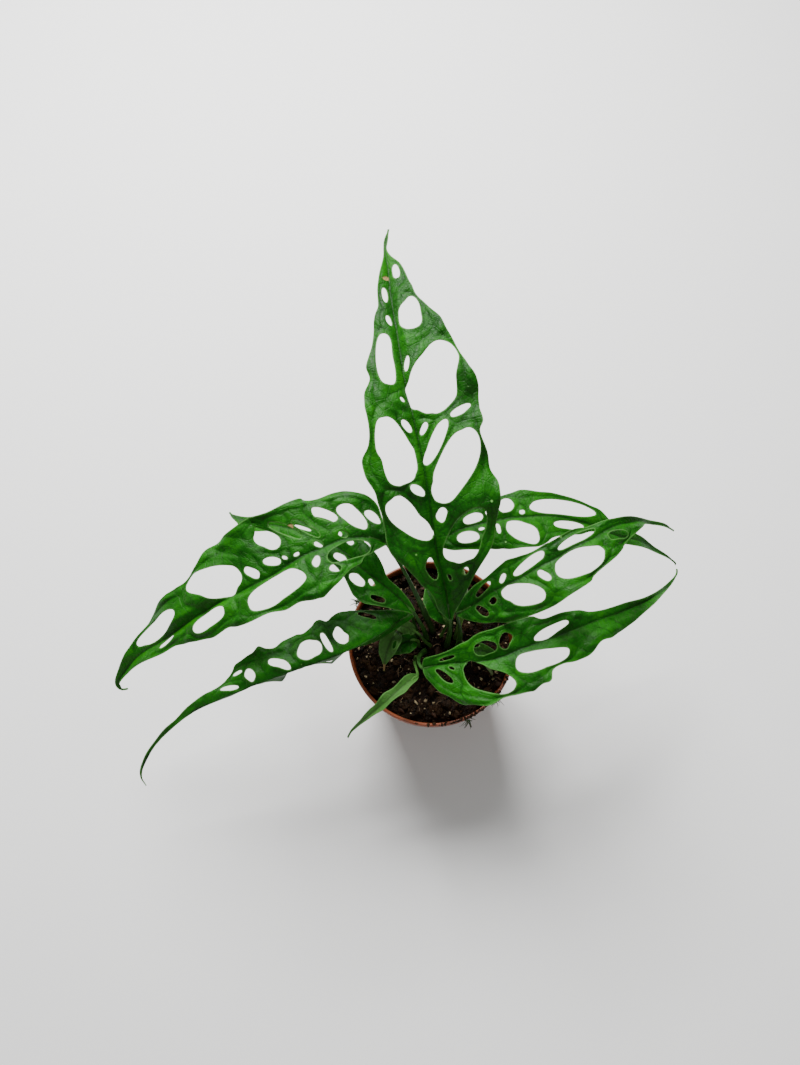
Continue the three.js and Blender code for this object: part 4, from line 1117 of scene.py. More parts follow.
def petiole_material(name, tones):
    """Smooth green stalk, darker and purplish where it leaves the soil, with pale dots and streaks."""
    s = Shader(name)
    deep, bright, base = tones
    along, place = s.attribute("along"), s.place()
    cloud = s.noise(place, 120.0, 3.0).between(0.3, 0.7)
    streak = s.noise(s.stretched(place, (900.0, 900.0, 90.0)), 1.0, 3.0).between(0.35, 0.7)
    dots = s.cells(place, 700.0).between(0.22, 0.12)
    colour = s.mix(cloud * 0.6 + streak * 0.4, deep, bright)
    colour = s.mix(along.between(0.55, 0.12) * 0.6, colour, base)
    colour = s.mix(dots * 0.35, colour, [c * 1.9 for c in bright])
    roughness = 0.38 + streak * 0.15
    normal = s.bump(streak * 0.7 + dots * 0.4, 0.00015, 0.8)
    return s.finish(colour, roughness, normal, 0.25)


def pot_material(colour):
    """Moulded terracotta plastic: clouded pigment, fine speckle, scuffs, and dust low and by the lip."""
    s = Shader("terracotta_plastic")
    place = s.place()
    cloud = s.noise(place, 22.0, 3.0).between(0.3, 0.7)
    speckle = s.noise(place, 900.0, 2.0).between(0.35, 0.75)
    rubbed = s.noise(s.stretched(place, (30.0, 30.0, 260.0)), 1.0, 5.0, 0.7).between(0.55, 0.75)
    splash = s.noise(place, 150.0, 4.0, 0.65).between(0.6, 0.72)
    height = s.node("ShaderNodeSeparateXYZ", {}, {"Vector": place}, "Z")
    by_lip = height.between(0.074, 0.092)
    low = height.between(0.02, 0.0)
    base = s.mix(cloud * 0.7, [c * 0.82 for c in colour], [min(c * 1.15, 1) for c in colour])
    base = s.mix(speckle * 0.18, base, [min(c * 1.9 + 0.02, 1) for c in colour])
    base = s.mix(rubbed * 0.2, base, RUBBED_PLASTIC)
    base = s.mix(splash * (by_lip * 0.7 + low * 0.6), base, DIRT)
    roughness = 0.36 + cloud * 0.08 + rubbed * 0.2 + splash * 0.25
    normal = s.bump(speckle * 0.3 + rubbed * 0.5 + splash * by_lip, 0.0002, 0.6)
    return s.finish(base, roughness, normal, 0.4)


def soil_material(name, tones):
    """Damp crumbly peat: near black with brown crumbs, and scattered pale grains."""
    s = Shader(name)
    dark, brown, speck = tones
    place = s.place()
    tint = s.attribute("tint")
    clod = s.noise(place, 170.0, 5.0, 0.7).between(0.35, 0.7)
    crumb = s.cells(place, 900.0)
    grain = s.noise(place, 1500.0, 3.0, 0.7)
    colour = s.mix(clod * 0.5 + tint * 0.7, dark, brown)
    colour = s.mix(crumb.between(0.5, 0.1) * 0.35, colour, [c * 0.35 for c in dark])
    bits = s.cells(place, 420.0).between(0.16, 0.09) * s.noise(place, 60.0, 2.0).between(0.5, 0.7)
    colour = s.mix(bits * 0.75, colour, speck)
    roughness = 0.62 + clod * 0.25 - grain * 0.1
    normal = s.bump(grain * 0.5 + crumb.between(0.7, 0.1), 0.0006, 0.9)
    return s.finish(colour, roughness, normal, 0.15)


def litter_material(name, tones, scale, roughness):
    """Dry bits: two tones by piece and by grain, roughened all over."""
    s = Shader(name)
    first, second = tones
    place, tint = s.place(), s.attribute("tint")
    grain = s.noise(s.stretched(place, (1.0, 1.0, 0.4)), scale, 4.0, 0.65).between(0.3, 0.7)
    colour = s.mix(grain * 0.45 + tint * 0.55, first, second)
    normal = s.bump(grain, 0.0003, 0.8)
    return s.finish(colour, roughness + grain * 0.12, normal, 0.3)


def floor_material(colour):
    """Matte pale studio floor with the faintest grain."""
    s = Shader("studio_floor")
    grain = s.noise(s.place(), 40.0, 3.0)
    base = s.mix(grain * 0.2, colour, [c * 0.97 for c in colour])
    return s.finish(base, 0.75 + grain * 0.1, s.bump(grain, 0.0001, 0.2), 0.2)


# Pieces


def blade_relief(blade, plan, edge, settings):
    """Height of the blade above its plain surface, and its two vein masks. It sinks along the midrib
    and along the vein of each strip like a gutter, swells between veins, rolls down at places along
    its margins, and undulates broadly."""
    along, across = plan.T
    size = min(blade.reach / FULL_RELIEF_REACH, 1)
    size = size * (1 - 0.75 * smooth_step(np.abs(blade.lift(plan)), 0.6, 1.5))
    between, strip, even, open_blade = blade.veins(plan)
    vein = np.maximum(bell(between, VEIN_HALF_WIDTH) * strip, bell(even, VEIN_HALF_WIDTH) * open_blade)
    rib = bell(across, RIB_LINE_HALF_WIDTH)
    off_rib = smooth_step(np.abs(across), 0.5, 5)
    broad = lattice_noise(along / 21, across / 17 + 3, blade.seed)
    turn = lattice_noise(along / 30 + 9, across / 25, blade.seed + 20)
    gutter = GUTTER_REACH * rounded_rise(between, GUTTER_ROUNDING, GUTTER_REACH) * strip
    valley = rounded_rise(across, VALLEY_ROUNDING, VALLEY_REACH)
    swell = (1 - bell(even, SWELL_REACH)) * open_blade
    roll = smooth_step(blade.margin(plan), ROLL_WIDTH, 0) ** 2 * (0.5 + 1.4 * turn)
    curl = lattice_noise(along / 12, across / 12, blade.seed + 40) * np.exp(-edge / CURL_WIDTH)
    fine = lattice_noise(along / 6, across / 6, blade.seed + 50)
    height = (
        settings.gutter * gutter * (0.75 + 0.9 * turn) * off_rib
        + settings.valley / MM * valley
        + settings.quilting / MM * (swell * off_rib + 1.5 * broad * off_rib)
        - settings.edge_roll / MM * roll
        + settings.edge_curl / MM * curl
        + FINE_RELIEF * fine
        - VEIN_GROOVE * vein * off_rib
        - RIB_GROOVE * rib
    )
    return size * height, vein * off_rib, rib


def make_blade(name, leaf, seed, settings, scars):
    """Blade of one leaf: the plan laid on its surface and raised by its relief, thinner at its edges
    and thicker over the rib beneath. Dry scars fade out as round bells."""
    blade = Blade(leaf, seed)
    cell = (settings.large_cell if blade.length > LARGE_LEAF_LENGTH else settings.small_cell) / MM
    low, high = (-cell / 2, blade.right[:, 1].min() - 1), (blade.length, blade.left[:, 1].max() + 1)
    plan, triangles = cut_plan(blade.clearance, low, high, cell)
    along, across = plan.T
    edge = np.maximum(blade.clearance(plan), 0)
    size = min(blade.reach / FULL_RELIEF_REACH, 1)
    height, vein, rib = blade_relief(blade, plan, edge, settings)
    scar = np.zeros(len(plan))
    for scar_along, scar_across, radius in scars:
        scar += np.exp(-((along - scar_along) ** 2 + (across - scar_across) ** 2) / radius**2)
    middle = blade.place(plan)
    middle = middle + vertex_normals(middle, triangles) * height[:, None]
    half = settings.blade_thickness / MM / 2 * smooth_step(edge, -0.9, 0.7)
    keel = RIB_DEPTH * np.clip(1 - along / blade.length, 0, 1) * bell(across, RIB_HALF_WIDTH)
    lower = half + keel * size + VEIN_DEPTH * size * vein
    vertices, faces, source, turned = thicken(middle, triangles, half, lower, EDGE_BULGE)
    attributes = {
        "plan": np.stack([along, across, np.full(len(along), seed * PATTERN_STEP)], -1)[source] * MM,
        "edge": edge[source] * (turned != 0.5),
        "vein": vein[source],
        "rib": rib[source],
        "lower": turned,
        "scar": scar[source],
    }
    return build_mesh(name, vertices, faces, attributes), blade


def make_petiole(name, leaf, blade, radii, soil_top):
    """Stalk of one leaf: round, grooved above, winged by a sheath low down and swollen below the
    blade, whose midrib it runs into."""
    under = blade.place(np.array([(along, 0) for along in PETIOLE_UNDER_BLADE], float))
    under = under - UP * radii[1] * PETIOLE_SINK
    points = [*foot_points(leaf["foot"], FOOT_DEPTH, soil_top), *leaf["petiole"], *under]
    centres = even_path(points, PETIOLE_STEP)
    share = np.linspace(0, 1, len(centres))[:, None]
    angle = full_turn(PETIOLE_SIDES)[None, :]
    foot, neck = radii
    radius = np.interp(share, (0, 1 / 3, 2 / 3, 1), (foot, foot, neck, PETIOLE_END_RADIUS))
    from_top = np.abs((angle - np.pi / 2 + np.pi) % (2 * np.pi) - np.pi)
    groove = PETIOLE_GROOVE * bell(from_top, 0.45) * smooth_step(share, 0.25, 0.5)
    wings = SHEATH_WINGS * bell(from_top - 0.75, 0.2) * smooth_step(share, 0.6, 0.2)
    swelling = SWELLING * bell(share - SWELLING_PLACE, 0.05)
    radius = radius * (1 - groove + wings + swelling)
    reach = centres[-1] - centres[0]
    vertices, faces = tube(centres, radius, unit(np.cross(UP, reach * (1, 1, 0) + (1e-3, 0, 0))))
    along = np.append(np.repeat(share, PETIOLE_SIDES), (0, 1))
    return build_mesh(name, vertices, faces, {"along": along})


def make_spear(name, soil_top):
    """Rolled new leaf: a tapering tube whose section is a spiral, so one overlapping edge winds up it."""
    points = [*foot_points(SPEAR["foot"], FOOT_DEPTH, soil_top), *SPEAR["path"]]
    centres = even_path(points, SPEAR_STEP)
    share = np.linspace(0, 1, len(centres))[:, None]
    angle = full_turn(SPEAR_SIDES)[None, :]
    radius = np.interp(share, np.linspace(0, 1, len(SPEAR["radii"])), SPEAR["radii"])
    turn = (angle / (2 * np.pi) + 1.6 * share) % 1
    rolled = smooth_step(share, 0.5, 0.62)
    radius = radius * (1 + rolled * (0.16 * turn - 0.08))
    vertices, faces = tube(centres, radius, (1, 0, 0))
    along = np.append(np.repeat(share, SPEAR_SIDES), (0, 1))
    return build_mesh(name, vertices, faces, {"along": along})


def make_root(name, soil_top):
    """Aerial root: a slightly knotted, tapering cord from its petiole down into the soil."""
    feet = foot_points(AERIAL_ROOT["foot"], AERIAL_ROOT["depth"], soil_top)[::-1]
    centres = even_path([*AERIAL_ROOT["path"], *feet], ROOT_STEP)
    share = np.linspace(0, 1, len(centres))[:, None]
    angle = full_turn(ROOT_SIDES)[None, :]
    knots = 1 + 0.08 * np.sin(share * 45) * np.sin(share * 17) + 0.05 * np.sin(3 * angle + share * 9)
    vertices, faces = tube(centres, np.interp(share, (0, 1), AERIAL_ROOT["radii"]) * knots, (0, 1, 0))
    along = np.append(np.repeat(1 - share * 0.6, ROOT_SIDES), (1, 0.4))
    return build_mesh(name, vertices, faces, {"along": along})


def pot_profile(settings):
    """Section of the pot's wall: foot ring, straight taper, stepped collar and rolled lip."""
    rim, height, base = settings.rim_radius / MM, settings.height / MM, settings.base_radius / MM
    neck = rim - COLLAR_STEP
    foot = [
        (base - FOOT_RING_WIDTH, 0.3), (base - FOOT_RING_WIDTH + 0.4, 0), (base - 2, 0),
        *corner_arc((base - 1, 1), 1, -90, 0),
    ]
    taper = [
        (base + 0.25 * (neck - base), 0.25 * COLLAR_BOTTOM), (neck - 0.1, COLLAR_BOTTOM - 1.4),
    ]
    collar = [
        *corner_arc((neck + 0.7, COLLAR_BOTTOM - 0.9), 0.7, 180, 90, 5),
        *corner_arc((rim - 1.2, COLLAR_BOTTOM + 0.6), 0.7, -90, 0, 5), (rim - 0.35, COLLAR_BOTTOM + 5),
    ]
    lip = [
        (rim - 0.3, height - 3.2), *corner_arc((rim - LIP_RADIUS, height - 1.15), LIP_RADIUS, -30, 90, 7),
        (rim - 1.4, height - 0.2), *corner_arc((rim - COLLAR_WALL + 0.5, height - 0.9), 0.6, 90, 180, 5),
    ]
    inside = [
        (rim - COLLAR_WALL, COLLAR_BOTTOM + 2.4), (neck - LOWER_WALL, COLLAR_BOTTOM - 1),
        (base - POT_WALL, POT_FLOOR + 1), (base - FOOT_RING_WIDTH, POT_FLOOR),
    ]
    return foot + taper + collar + lip + inside


def make_pot_wall(name, settings):
    """Wall of the pot: its section turned about the axis, with a very slight unevenness of moulding."""
    profile = pot_profile(settings)
    points = revolve(profile, POT_SECTORS)
    angle = full_turn(POT_SECTORS)[None, :, None]
    points[..., :2] *= 1 + 0.0012 * np.sin(2 * angle + 0.6) + 0.0005 * np.sin(5 * angle)
    faces = [grid_faces(len(profile), POT_SECTORS, close_rows=True)]
    return build_mesh(name, points.reshape(-1, 3), faces)


def make_pot_floor(name, settings):
    """Floor of the pot: a disc with a ring of drain holes."""
    radius = settings.base_radius / MM - FOOT_RING_WIDTH + 0.3
    angle = 2 * np.pi * (np.arange(DRAIN_HOLES) + 0.5) / DRAIN_HOLES
    middles = DRAIN_RING_RADIUS * np.stack([np.cos(angle), np.sin(angle)], -1)

    def clearance(points):
        """Distance inside the disc and outside its holes."""
        from_holes = np.linalg.norm(points[:, None] - middles, axis=-1).min(1) - DRAIN_HOLE_RADIUS
        return np.minimum(radius - np.linalg.norm(points, axis=1), from_holes)

    plan, triangles = cut_plan(clearance, (-radius - 1,) * 2, (radius + 1,) * 2, FLOOR_CELL)
    middle = np.column_stack([plan, np.full(len(plan), POT_FLOOR / 2)])
    distance = np.linalg.norm(plan, axis=1)
    ridge = 0.25 * bell(distance - 14, 0.6) - 0.3 * np.exp(-(distance / 1.6) ** 4)
    half = np.full(len(plan), POT_FLOOR / 2 - 0.15)
    vertices, faces, _, _ = thicken(middle, triangles, half, half + 0.1 * ridge, 0.05)
    return build_mesh(name, vertices, faces)


def soil_height(x, y, settings):
    """Height of the soil's top: gentle heaps, clods and crumbs, lower along the pot's wall."""
    heaps = sum(height * np.sin(a * x + b * y + start) for height, a, b, start in SOIL_HEAPS)
    clods = 1.1 * lattice_noise(x / 4.2 + 20, y / 4.2 + 20, settings.seed)
    crumbs = 0.7 * np.abs(lattice_noise(x / 1.7 + 40, y / 1.7 + 40, settings.seed + 1))
    grains = 0.3 * lattice_noise(x / 0.7 + 90, y / 0.7 + 90, settings.seed + 2)
    edge = SOIL_EDGE_DROP * smooth_step(np.hypot(x, y), *SOIL_EDGE)
    return settings.top / MM + heaps + clods + crumbs + grains - edge


def make_soil(name, settings, pot):
    """Soil: a cone that fills the pot under a rough top, closed at both middles. It stays a little
    off the pot's wall and floor."""
    wall = pot.rim_radius / MM - COLLAR_WALL - SOIL_GAP
    base = pot.base_radius / MM - POT_WALL - 2 * SOIL_GAP
    neck = pot.rim_radius / MM - COLLAR_STEP - LOWER_WALL - 2 * SOIL_GAP
    floor = POT_FLOOR + SOIL_GAP
    rings = np.linspace(wall, SOIL_MIDDLE, SOIL_RINGS)
    low = [(SOIL_MIDDLE, floor), (base, floor), (neck, COLLAR_BOTTOM - 1), (wall, COLLAR_BOTTOM + 1)]
    profile = low + [(radius, 0) for radius in rings]
    points = revolve(profile, SOIL_SECTORS)
    top = points[len(low):]
    top[..., 2] = soil_height(top[..., 0], top[..., 1], settings)
    middle = np.zeros(1)
    ends = np.array([(0, 0, floor), (0, 0, soil_height(middle, middle, settings)[0])])
    vertices = np.vstack([points.reshape(-1, 3), ends])
    faces = [grid_faces(len(profile), SOIL_SECTORS), cap_faces(len(profile), SOIL_SECTORS)]
    return build_mesh(name, vertices, faces, {"tint": np.zeros(len(vertices))})


def ball(level):
    """Unit ball of few faces: a subdivided icosahedron's vertices and triangles."""
    bpy.ops.mesh.primitive_ico_sphere_add(subdivisions=level, radius=1)
    mesh = bpy.context.object.data
    vertices = np.empty(3 * len(mesh.vertices))
    mesh.vertices.foreach_get("co", vertices)
    corners = np.empty(len(mesh.loops), np.int32)
    mesh.loops.foreach_get("vertex_index", corners)
    bpy.data.objects.remove(bpy.context.object)
    bpy.data.meshes.remove(mesh)
    return vertices.reshape(-1, 3), corners.reshape(-1, 3)


def random_turns(count, rng):
    """Rotation matrices from random unit quaternions."""
    w, x, y, z = unit(rng.normal(size=(count, 4))).T
    return np.stack([
        np.stack([1 - 2 * (y * y + z * z), 2 * (x * y - z * w), 2 * (x * z + y * w)], -1),
        np.stack([2 * (x * y + z * w), 1 - 2 * (x * x + z * z), 2 * (y * z - x * w)], -1),
        np.stack([2 * (x * z - y * w), 2 * (y * z + x * w), 1 - 2 * (x * x + y * y)], -1),
    ], -2)


def soil_spots(settings, count, rng, leftward=0.0):
    """Random places on the soil's top, drawn evenly over the disc and shifted to its left by a share."""
    radius, angle = SOIL_REACH * np.sqrt(rng.random(count)), rng.uniform(0, 2 * np.pi, count)
    angle = angle + leftward * np.sin(angle)
    x, y = radius * np.cos(angle), radius * np.sin(angle)
    return np.stack([x, y, soil_height(x, y, settings)], -1)


def lip_spots(pot, count, rng):
    """Random places on the pot's lip, gathered on the side where soil was spilled over it."""
    angle = rng.normal(SPILL_ANGLE, SPILL_SPREAD, count)
    radius = (pot.rim_radius / MM - LIP_RADIUS) + rng.uniform(-LIP_SCATTER, LIP_SCATTER, count)
    height = np.full(count, pot.height / MM)
    return np.stack([radius * np.cos(angle), radius * np.sin(angle), height], -1)


def scatter(name, spots, level, size, shape, sink, rng):
    """Many small lumps: copies of a ball, each stretched by shape, dented, turned and set down at its
    spot, sunk by a share of its size."""
    count = len(spots)
    vertices, triangles = ball(level)
    sizes = size[0] + (size[1] - size[0]) * rng.random(count) ** MOSTLY_SMALL
    stretch = sizes[:, None] * np.array(shape) * rng.uniform(0.7, 1.3, (count, 3))
    dents = np.sin(vertices @ rng.normal(size=(3, 1)) * 3 + rng.uniform(0, 6, count)).T
    lumps = vertices[None] * (1 + DENT_DEPTH * dents)[..., None] * stretch[:, None]
    lumps = lumps @ np.swapaxes(random_turns(count, rng), 1, 2)
    lumps = lumps + (spots + UP * (sizes * sink)[:, None])[:, None]
    faces = (triangles[None] + np.arange(count)[:, None, None] * len(vertices)).reshape(-1, 3)
    tint = np.repeat(rng.random(count), len(vertices))
    return build_mesh(name, lumps.reshape(-1, 3), [faces], {"tint": tint})


def make_fibres(name, settings, count, rng):
    """Thin roots and fibres lying on the soil: gently bent tubes, each from its own random arc."""
    steps = 14
    along = np.linspace(-1, 1, steps)[None, :]
    length = rng.uniform(*FIBRE_LENGTHS, (count, 1))
    heading = rng.uniform(0, 2 * np.pi, (count, 1)) + rng.normal(0, 0.8, (count, 1)) * along
    spot = rng.uniform(0, 2 * np.pi, (count, 1))
    out = FIBRE_START_REACH * np.sqrt(rng.random((count, 1)))
    x = out * np.cos(spot) + np.cumsum(np.cos(heading), 1) * length / steps
    y = out * np.sin(spot) + np.cumsum(np.sin(heading), 1) * length / steps
    inward = np.minimum(1, FIBRE_REACH / np.hypot(x, y))
    x, y = x * inward, y * inward
    z = soil_height(x, y, settings) + 0.3 + rng.uniform(0, 1.6, (count, 1)) * (1 - along**2)
    thick = rng.uniform(*FIBRE_RADII, (count, 1)) * (1 - 0.6 * np.abs(along) ** 3)
    return bundle(name, np.stack([x, y, z], -1), thick, rng)


def make_tufts(name, pot, count, rng):
    """Tufts of moss on the lip: thin sprigs that leave one foot, each an arc that bends down outside."""
    steps = 12
    along = np.linspace(0, 1, steps)[None, :]
    feet = np.repeat(np.array(TUFTS, float), count, 0)
    each = (len(feet), 1)
    heading = np.arctan2(feet[:, 1:], feet[:, :1]) + rng.normal(0, 0.7, each)
    heading = heading + rng.normal(0, 0.8, each) * along
    length = rng.uniform(*SPRIG_LENGTHS, each)
    x = feet[:, :1] + rng.normal(0, 0.7, each) + np.cumsum(np.cos(heading), 1) * length / steps
    y = feet[:, 1:] + rng.normal(0, 0.7, each) + np.cumsum(np.sin(heading), 1) * length / steps
    rise = rng.uniform(0.2, 1.0, each)
    z = pot.height / MM - 0.3 + length * (rise * along - 0.9 * along**2)
    thick = rng.uniform(*SPRIG_RADII, each) * (1 - 0.6 * along**2)
    return bundle(name, np.stack([x, y, z], -1), thick, rng)


def bundle(name, paths, thick, rng):
    """Tubes along many paths as one mesh, each with its own tint."""
    pieces = [
        tube(path, np.repeat(radius[:, None], FIBRE_SIDES, 1), (0, 0.1, 1))
        for path, radius in zip(paths, thick)
    ]
    size = len(pieces[0][0])
    vertices = np.vstack([piece[0] for piece in pieces])
    faces = [face + size * k for k, piece in enumerate(pieces) for face in piece[1]]
    return build_mesh(name, vertices, faces, {"tint": np.repeat(rng.random(len(paths)), size)})


def build_leaf(context, node, blade_finish, stalk_finish, radii):
    """Blade and petiole of one leaf."""
    leaf, seed, title = LEAVES[node], list(LEAVES).index(node), node.removeprefix("leaf_")
    settings, scars = context.scene.monstera_leaves, SCARS.get(node, ())
    soil_top = context.scene.monstera_soil.top / MM
    piece, blade = make_blade(f"{title}_blade", leaf, seed, settings, scars)
    dress(piece, blade_finish, node)
    stalk = make_petiole(f"{title}_petiole", leaf, blade, radii, soil_top)
    dress(stalk, stalk_finish, node)


# Settings


class LeafSettings(bpy.types.PropertyGroup):
    """Thickness, relief and colours of the leaves."""

    blade_thickness: bpy.props.FloatProperty(
        name="Blade thickness", description="Thickness of a blade away from its edges and veins",
        default=0.0005, min=0.0002, unit="LENGTH")
    large_cell: bpy.props.FloatProperty(
        name="Large leaf cell", description="Size of the mesh cells of the large blades",
        default=0.00056, min=0.0003, unit="LENGTH")
    small_cell: bpy.props.FloatProperty(
        name="Small leaf cell", description="Size of the mesh cells of the small blades",
        default=0.00034, min=0.0002, unit="LENGTH")
    gutter: bpy.props.FloatProperty(
        name="Gutter slope", description="Slope of a strip's two sides towards its vein", default=0.6)
    valley: bpy.props.FloatProperty(
        name="Midrib valley", description="Depth of the valley along the midrib",
        default=0.0016, unit="LENGTH")
    quilting: bpy.props.FloatProperty(
        name="Quilting", description="Height of the blade between its veins",
        default=0.0009, unit="LENGTH")
    edge_roll: bpy.props.FloatProperty(
        name="Edge roll", description="How far the margins roll down", default=0.0016, unit="LENGTH")
    edge_curl: bpy.props.FloatProperty(
        name="Edge curl", description="How far edges curl up and down", default=0.0012, unit="LENGTH")
    deep: bpy.props.FloatVectorProperty(
        name="Deep green", description="Darker tone of the blades", default=(0.002, 0.03, 0.0007),
        size=3, subtype="COLOR")
    bright: bpy.props.FloatVectorProperty(
        name="Bright green", description="Lighter tone of the blades", default=(0.014, 0.15, 0.0018),
        size=3, subtype="COLOR")
    under: bpy.props.FloatVectorProperty(
        name="Lower face", description="Tone of the lower faces", default=(0.012, 0.085, 0.006),
        size=3, subtype="COLOR")
    olive: bpy.props.FloatVectorProperty(
        name="Young olive", description="Tone that the palest young leaf tends to",
        default=(0.085, 0.19, 0.045), size=3, subtype="COLOR")
    pale: bpy.props.FloatVectorProperty(
        name="Pale edge", description="Tone of thin edges and scuffs", default=(0.1, 0.25, 0.06),
        size=3, subtype="COLOR")


class PotSettings(bpy.types.PropertyGroup):
    """Size and colour of the pot."""

    rim_radius: bpy.props.FloatProperty(
        name="Rim radius", description="Outer radius of the lip",
        default=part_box("pot")[1].x, unit="LENGTH")
    base_radius: bpy.props.FloatProperty(
        name="Base radius", description="Outer radius at the underside", default=0.038, unit="LENGTH")
    height: bpy.props.FloatProperty(
        name="Height", description="Height of the lip", default=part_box("pot")[1].z, unit="LENGTH")
    colour: bpy.props.FloatVectorProperty(
        name="Plastic", description="Colour of the plastic", default=(0.19, 0.042, 0.0105),
        size=3, subtype="COLOR")


class SoilSettings(bpy.types.PropertyGroup):
    """The soil and what lies on it."""

    top: bpy.props.FloatProperty(
        name="Top", description="Mean height of the soil's top", default=0.084, unit="LENGTH")
    clods: bpy.props.IntProperty(name="Clods", description="Number of larger clods", default=420, min=0)
    crumbs: bpy.props.IntProperty(name="Crumbs", description="Number of crumbs", default=1500, min=0)
    grit: bpy.props.IntProperty(name="Grit", description="Number of pale grains", default=230, min=0)
    chips: bpy.props.IntProperty(name="Chips", description="Number of bark chips", default=90, min=0)
    fibres: bpy.props.IntProperty(name="Fibres", description="Number of thin fibres", default=70, min=0)
    spilled: bpy.props.IntProperty(
        name="Spilled crumbs", description="Number of crumbs on the pot's lip", default=150, min=0)
    sprigs: bpy.props.IntProperty(
        name="Sprigs", description="Number of moss sprigs in each tuft", default=16, min=0)
    seed: bpy.props.IntProperty(name="Seed", description="Start of the random draws", default=7)


class StageSettings(bpy.types.PropertyGroup):
    """Camera, lights and floor."""

    camera_place: bpy.props.FloatVectorProperty(
        name="Camera", description="Place of the camera", default=(-0.0200, -0.1077, 0.5860),
        size=3, subtype="TRANSLATION", unit="LENGTH")
    camera_tilt: bpy.props.FloatProperty(
        name="Tilt", description="Angle of the view from straight down", default=math.radians(20),
        subtype="ANGLE", unit="ROTATION")
    focal_length: bpy.props.FloatProperty(
        name="Focal length", description="Focal length in millimetres for a 36 mm frame",
        default=FRAME_WIDTH * 800 / 1065)
    key_power: bpy.props.FloatProperty(
        name="Key light", description="Power of the main soft light", default=46.0, min=0, unit="POWER")
    fill_power: bpy.props.FloatProperty(
        name="Fill light", description="Power of the fill light", default=2.5, min=0, unit="POWER")
    sky: bpy.props.FloatProperty(
        name="Sky", description="Strength of the even light", default=0.27, min=0)
    floor: bpy.props.FloatVectorProperty(
        name="Floor", description="Colour of the floor", default=(0.86, 0.86, 0.85),
        size=3, subtype="COLOR")


# Operators


class MONSTERA_OT_pot(bpy.types.Operator):
    """Builds the nursery pot: its turned wall and its floor with drain holes"""

    bl_idname = "monstera.pot"
    bl_label = "Pot"

    def execute(self, context):
        settings = context.scene.monstera_pot
        plastic = pot_material(settings.colour)
        dress(make_pot_wall("pot_wall", settings), plastic, "pot")
        dress(make_pot_floor("pot_floor", settings), plastic, "pot")
        return {"FINISHED"}


class MONSTERA_OT_soil(bpy.types.Operator):
    """Builds the soil with its clods, crumbs, pale grit, bark and fibres, and the moss on the lip"""

    bl_idname = "monstera.soil"
    bl_label = "Soil"

    def execute(self, context):
        settings, pot = context.scene.monstera_soil, context.scene.monstera_pot
        peat = soil_material("damp_peat", PEAT_TONES)
        bark = litter_material("bark_chips", BARK_TONES, 700.0, 0.7)
        grit = litter_material("pale_grit", GRIT_TONES, 900.0, 0.75)
        fibre = litter_material("dry_fibres", FIBRE_TONES, 500.0, 0.8)
        moss = litter_material("lip_moss", MOSS_TONES, 900.0, 0.8)
        dress(make_soil("soil_body", settings, pot), peat, "soil")
        rng = np.random.default_rng(settings.seed)
        for title, material, count, leftward, level, size, shape, sink in (
            ("soil_clods", peat, settings.clods, 0, 3, (0.9, 3.1), (1, 0.85, 0.7), 0.05),
            ("soil_crumbs", peat, settings.crumbs, 0, 2, (0.35, 1.0), (1, 0.9, 0.75), 0.2),
            ("soil_bark", bark, settings.chips, 0, 2, (1.2, 3.6), (1, 0.5, 0.22), 0.15),
            ("soil_grit", grit, settings.grit, 0.7, 2, (0.3, 1.4), (1, 0.8, 0.7), 0.4),
        ):
            spots = soil_spots(settings, count, rng, leftward)
            dress(scatter(title, spots, level, size, shape, sink, rng), material, "soil")
        spilled = lip_spots(pot, settings.spilled, rng)
        spill = scatter("spilled_crumbs", spilled, 2, (0.25, 1.1), (1, 0.9, 0.7), 0.15, rng)
        dress(spill, peat, "soil")
        dress(make_fibres("soil_fibres", settings, settings.fibres, rng), fibre, "soil")
        dress(make_tufts("lip_moss", pot, settings.sprigs, rng), moss, "soil")
        return {"FINISHED"}


class MONSTERA_OT_large_leaves(bpy.types.Operator):
    """Builds the large perforated leaves: a blade and a petiole each"""

    bl_idname = "monstera.large_leaves"
    bl_label = "Large leaves"

    def execute(self, context):
        settings = context.scene.monstera_leaves
        tones = settings.deep, settings.bright, settings.under
        waxy = blade_material("leaf_green", *tones, settings.pale)
        stalk = petiole_material("petiole_green", LARGE_STALK_TONES)
        for node in LEAVES:
            if node not in YOUNG_PALENESS_AND_PAINTED_LIGHT:
                build_leaf(context, node, waxy, stalk, LARGE_RADII)
        return {"FINISHED"}


class MONSTERA_OT_young_leaves(bpy.types.Operator):
    """Builds the small young leaves: a blade and a petiole each"""

    bl_idname = "monstera.young_leaves"
    bl_label = "Young leaves"

    def execute(self, context):
        settings = context.scene.monstera_leaves
        stalk = petiole_material("young_stalk", YOUNG_STALK_TONES)
        for node, paleness_and_light in YOUNG_PALENESS_AND_PAINTED_LIGHT.items():
            # The paleness is partly painted light: young leaves that lie in shade get a paler green so
            # that they look lit
            tones = [
                [a + (b - a) * paleness_and_light for a, b in zip(tone, settings.olive)]
                for tone in (settings.deep, settings.bright, settings.under)
            ]
            title = node.removeprefix("leaf_")
            soft = blade_material(f"{title}_green", *tones, settings.pale)
            build_leaf(context, node, soft, stalk, YOUNG_RADII)
        return {"FINISHED"}


class MONSTERA_OT_spear(bpy.types.Operator):
    """Builds the rolled new leaf"""

    bl_idname = "monstera.spear"
    bl_label = "New leaf"

    def execute(self, context):
        soil_top = context.scene.monstera_soil.top / MM
        fresh = petiole_material("new_leaf_green", NEW_LEAF_TONES)
        dress(make_spear("rolled_leaf", soil_top), fresh, "new_leaf_spear")
        return {"FINISHED"}


class MONSTERA_OT_root(bpy.types.Operator):
    """Builds the aerial root"""

    bl_idname = "monstera.root"
    bl_label = "Aerial root"

    def execute(self, context):
        soil_top = context.scene.monstera_soil.top / MM
        skin = petiole_material("aerial_root_skin", AERIAL_ROOT_TONES)
        dress(make_root("aerial_root", soil_top), skin, "leaf_right_middle")
        return {"FINISHED"}


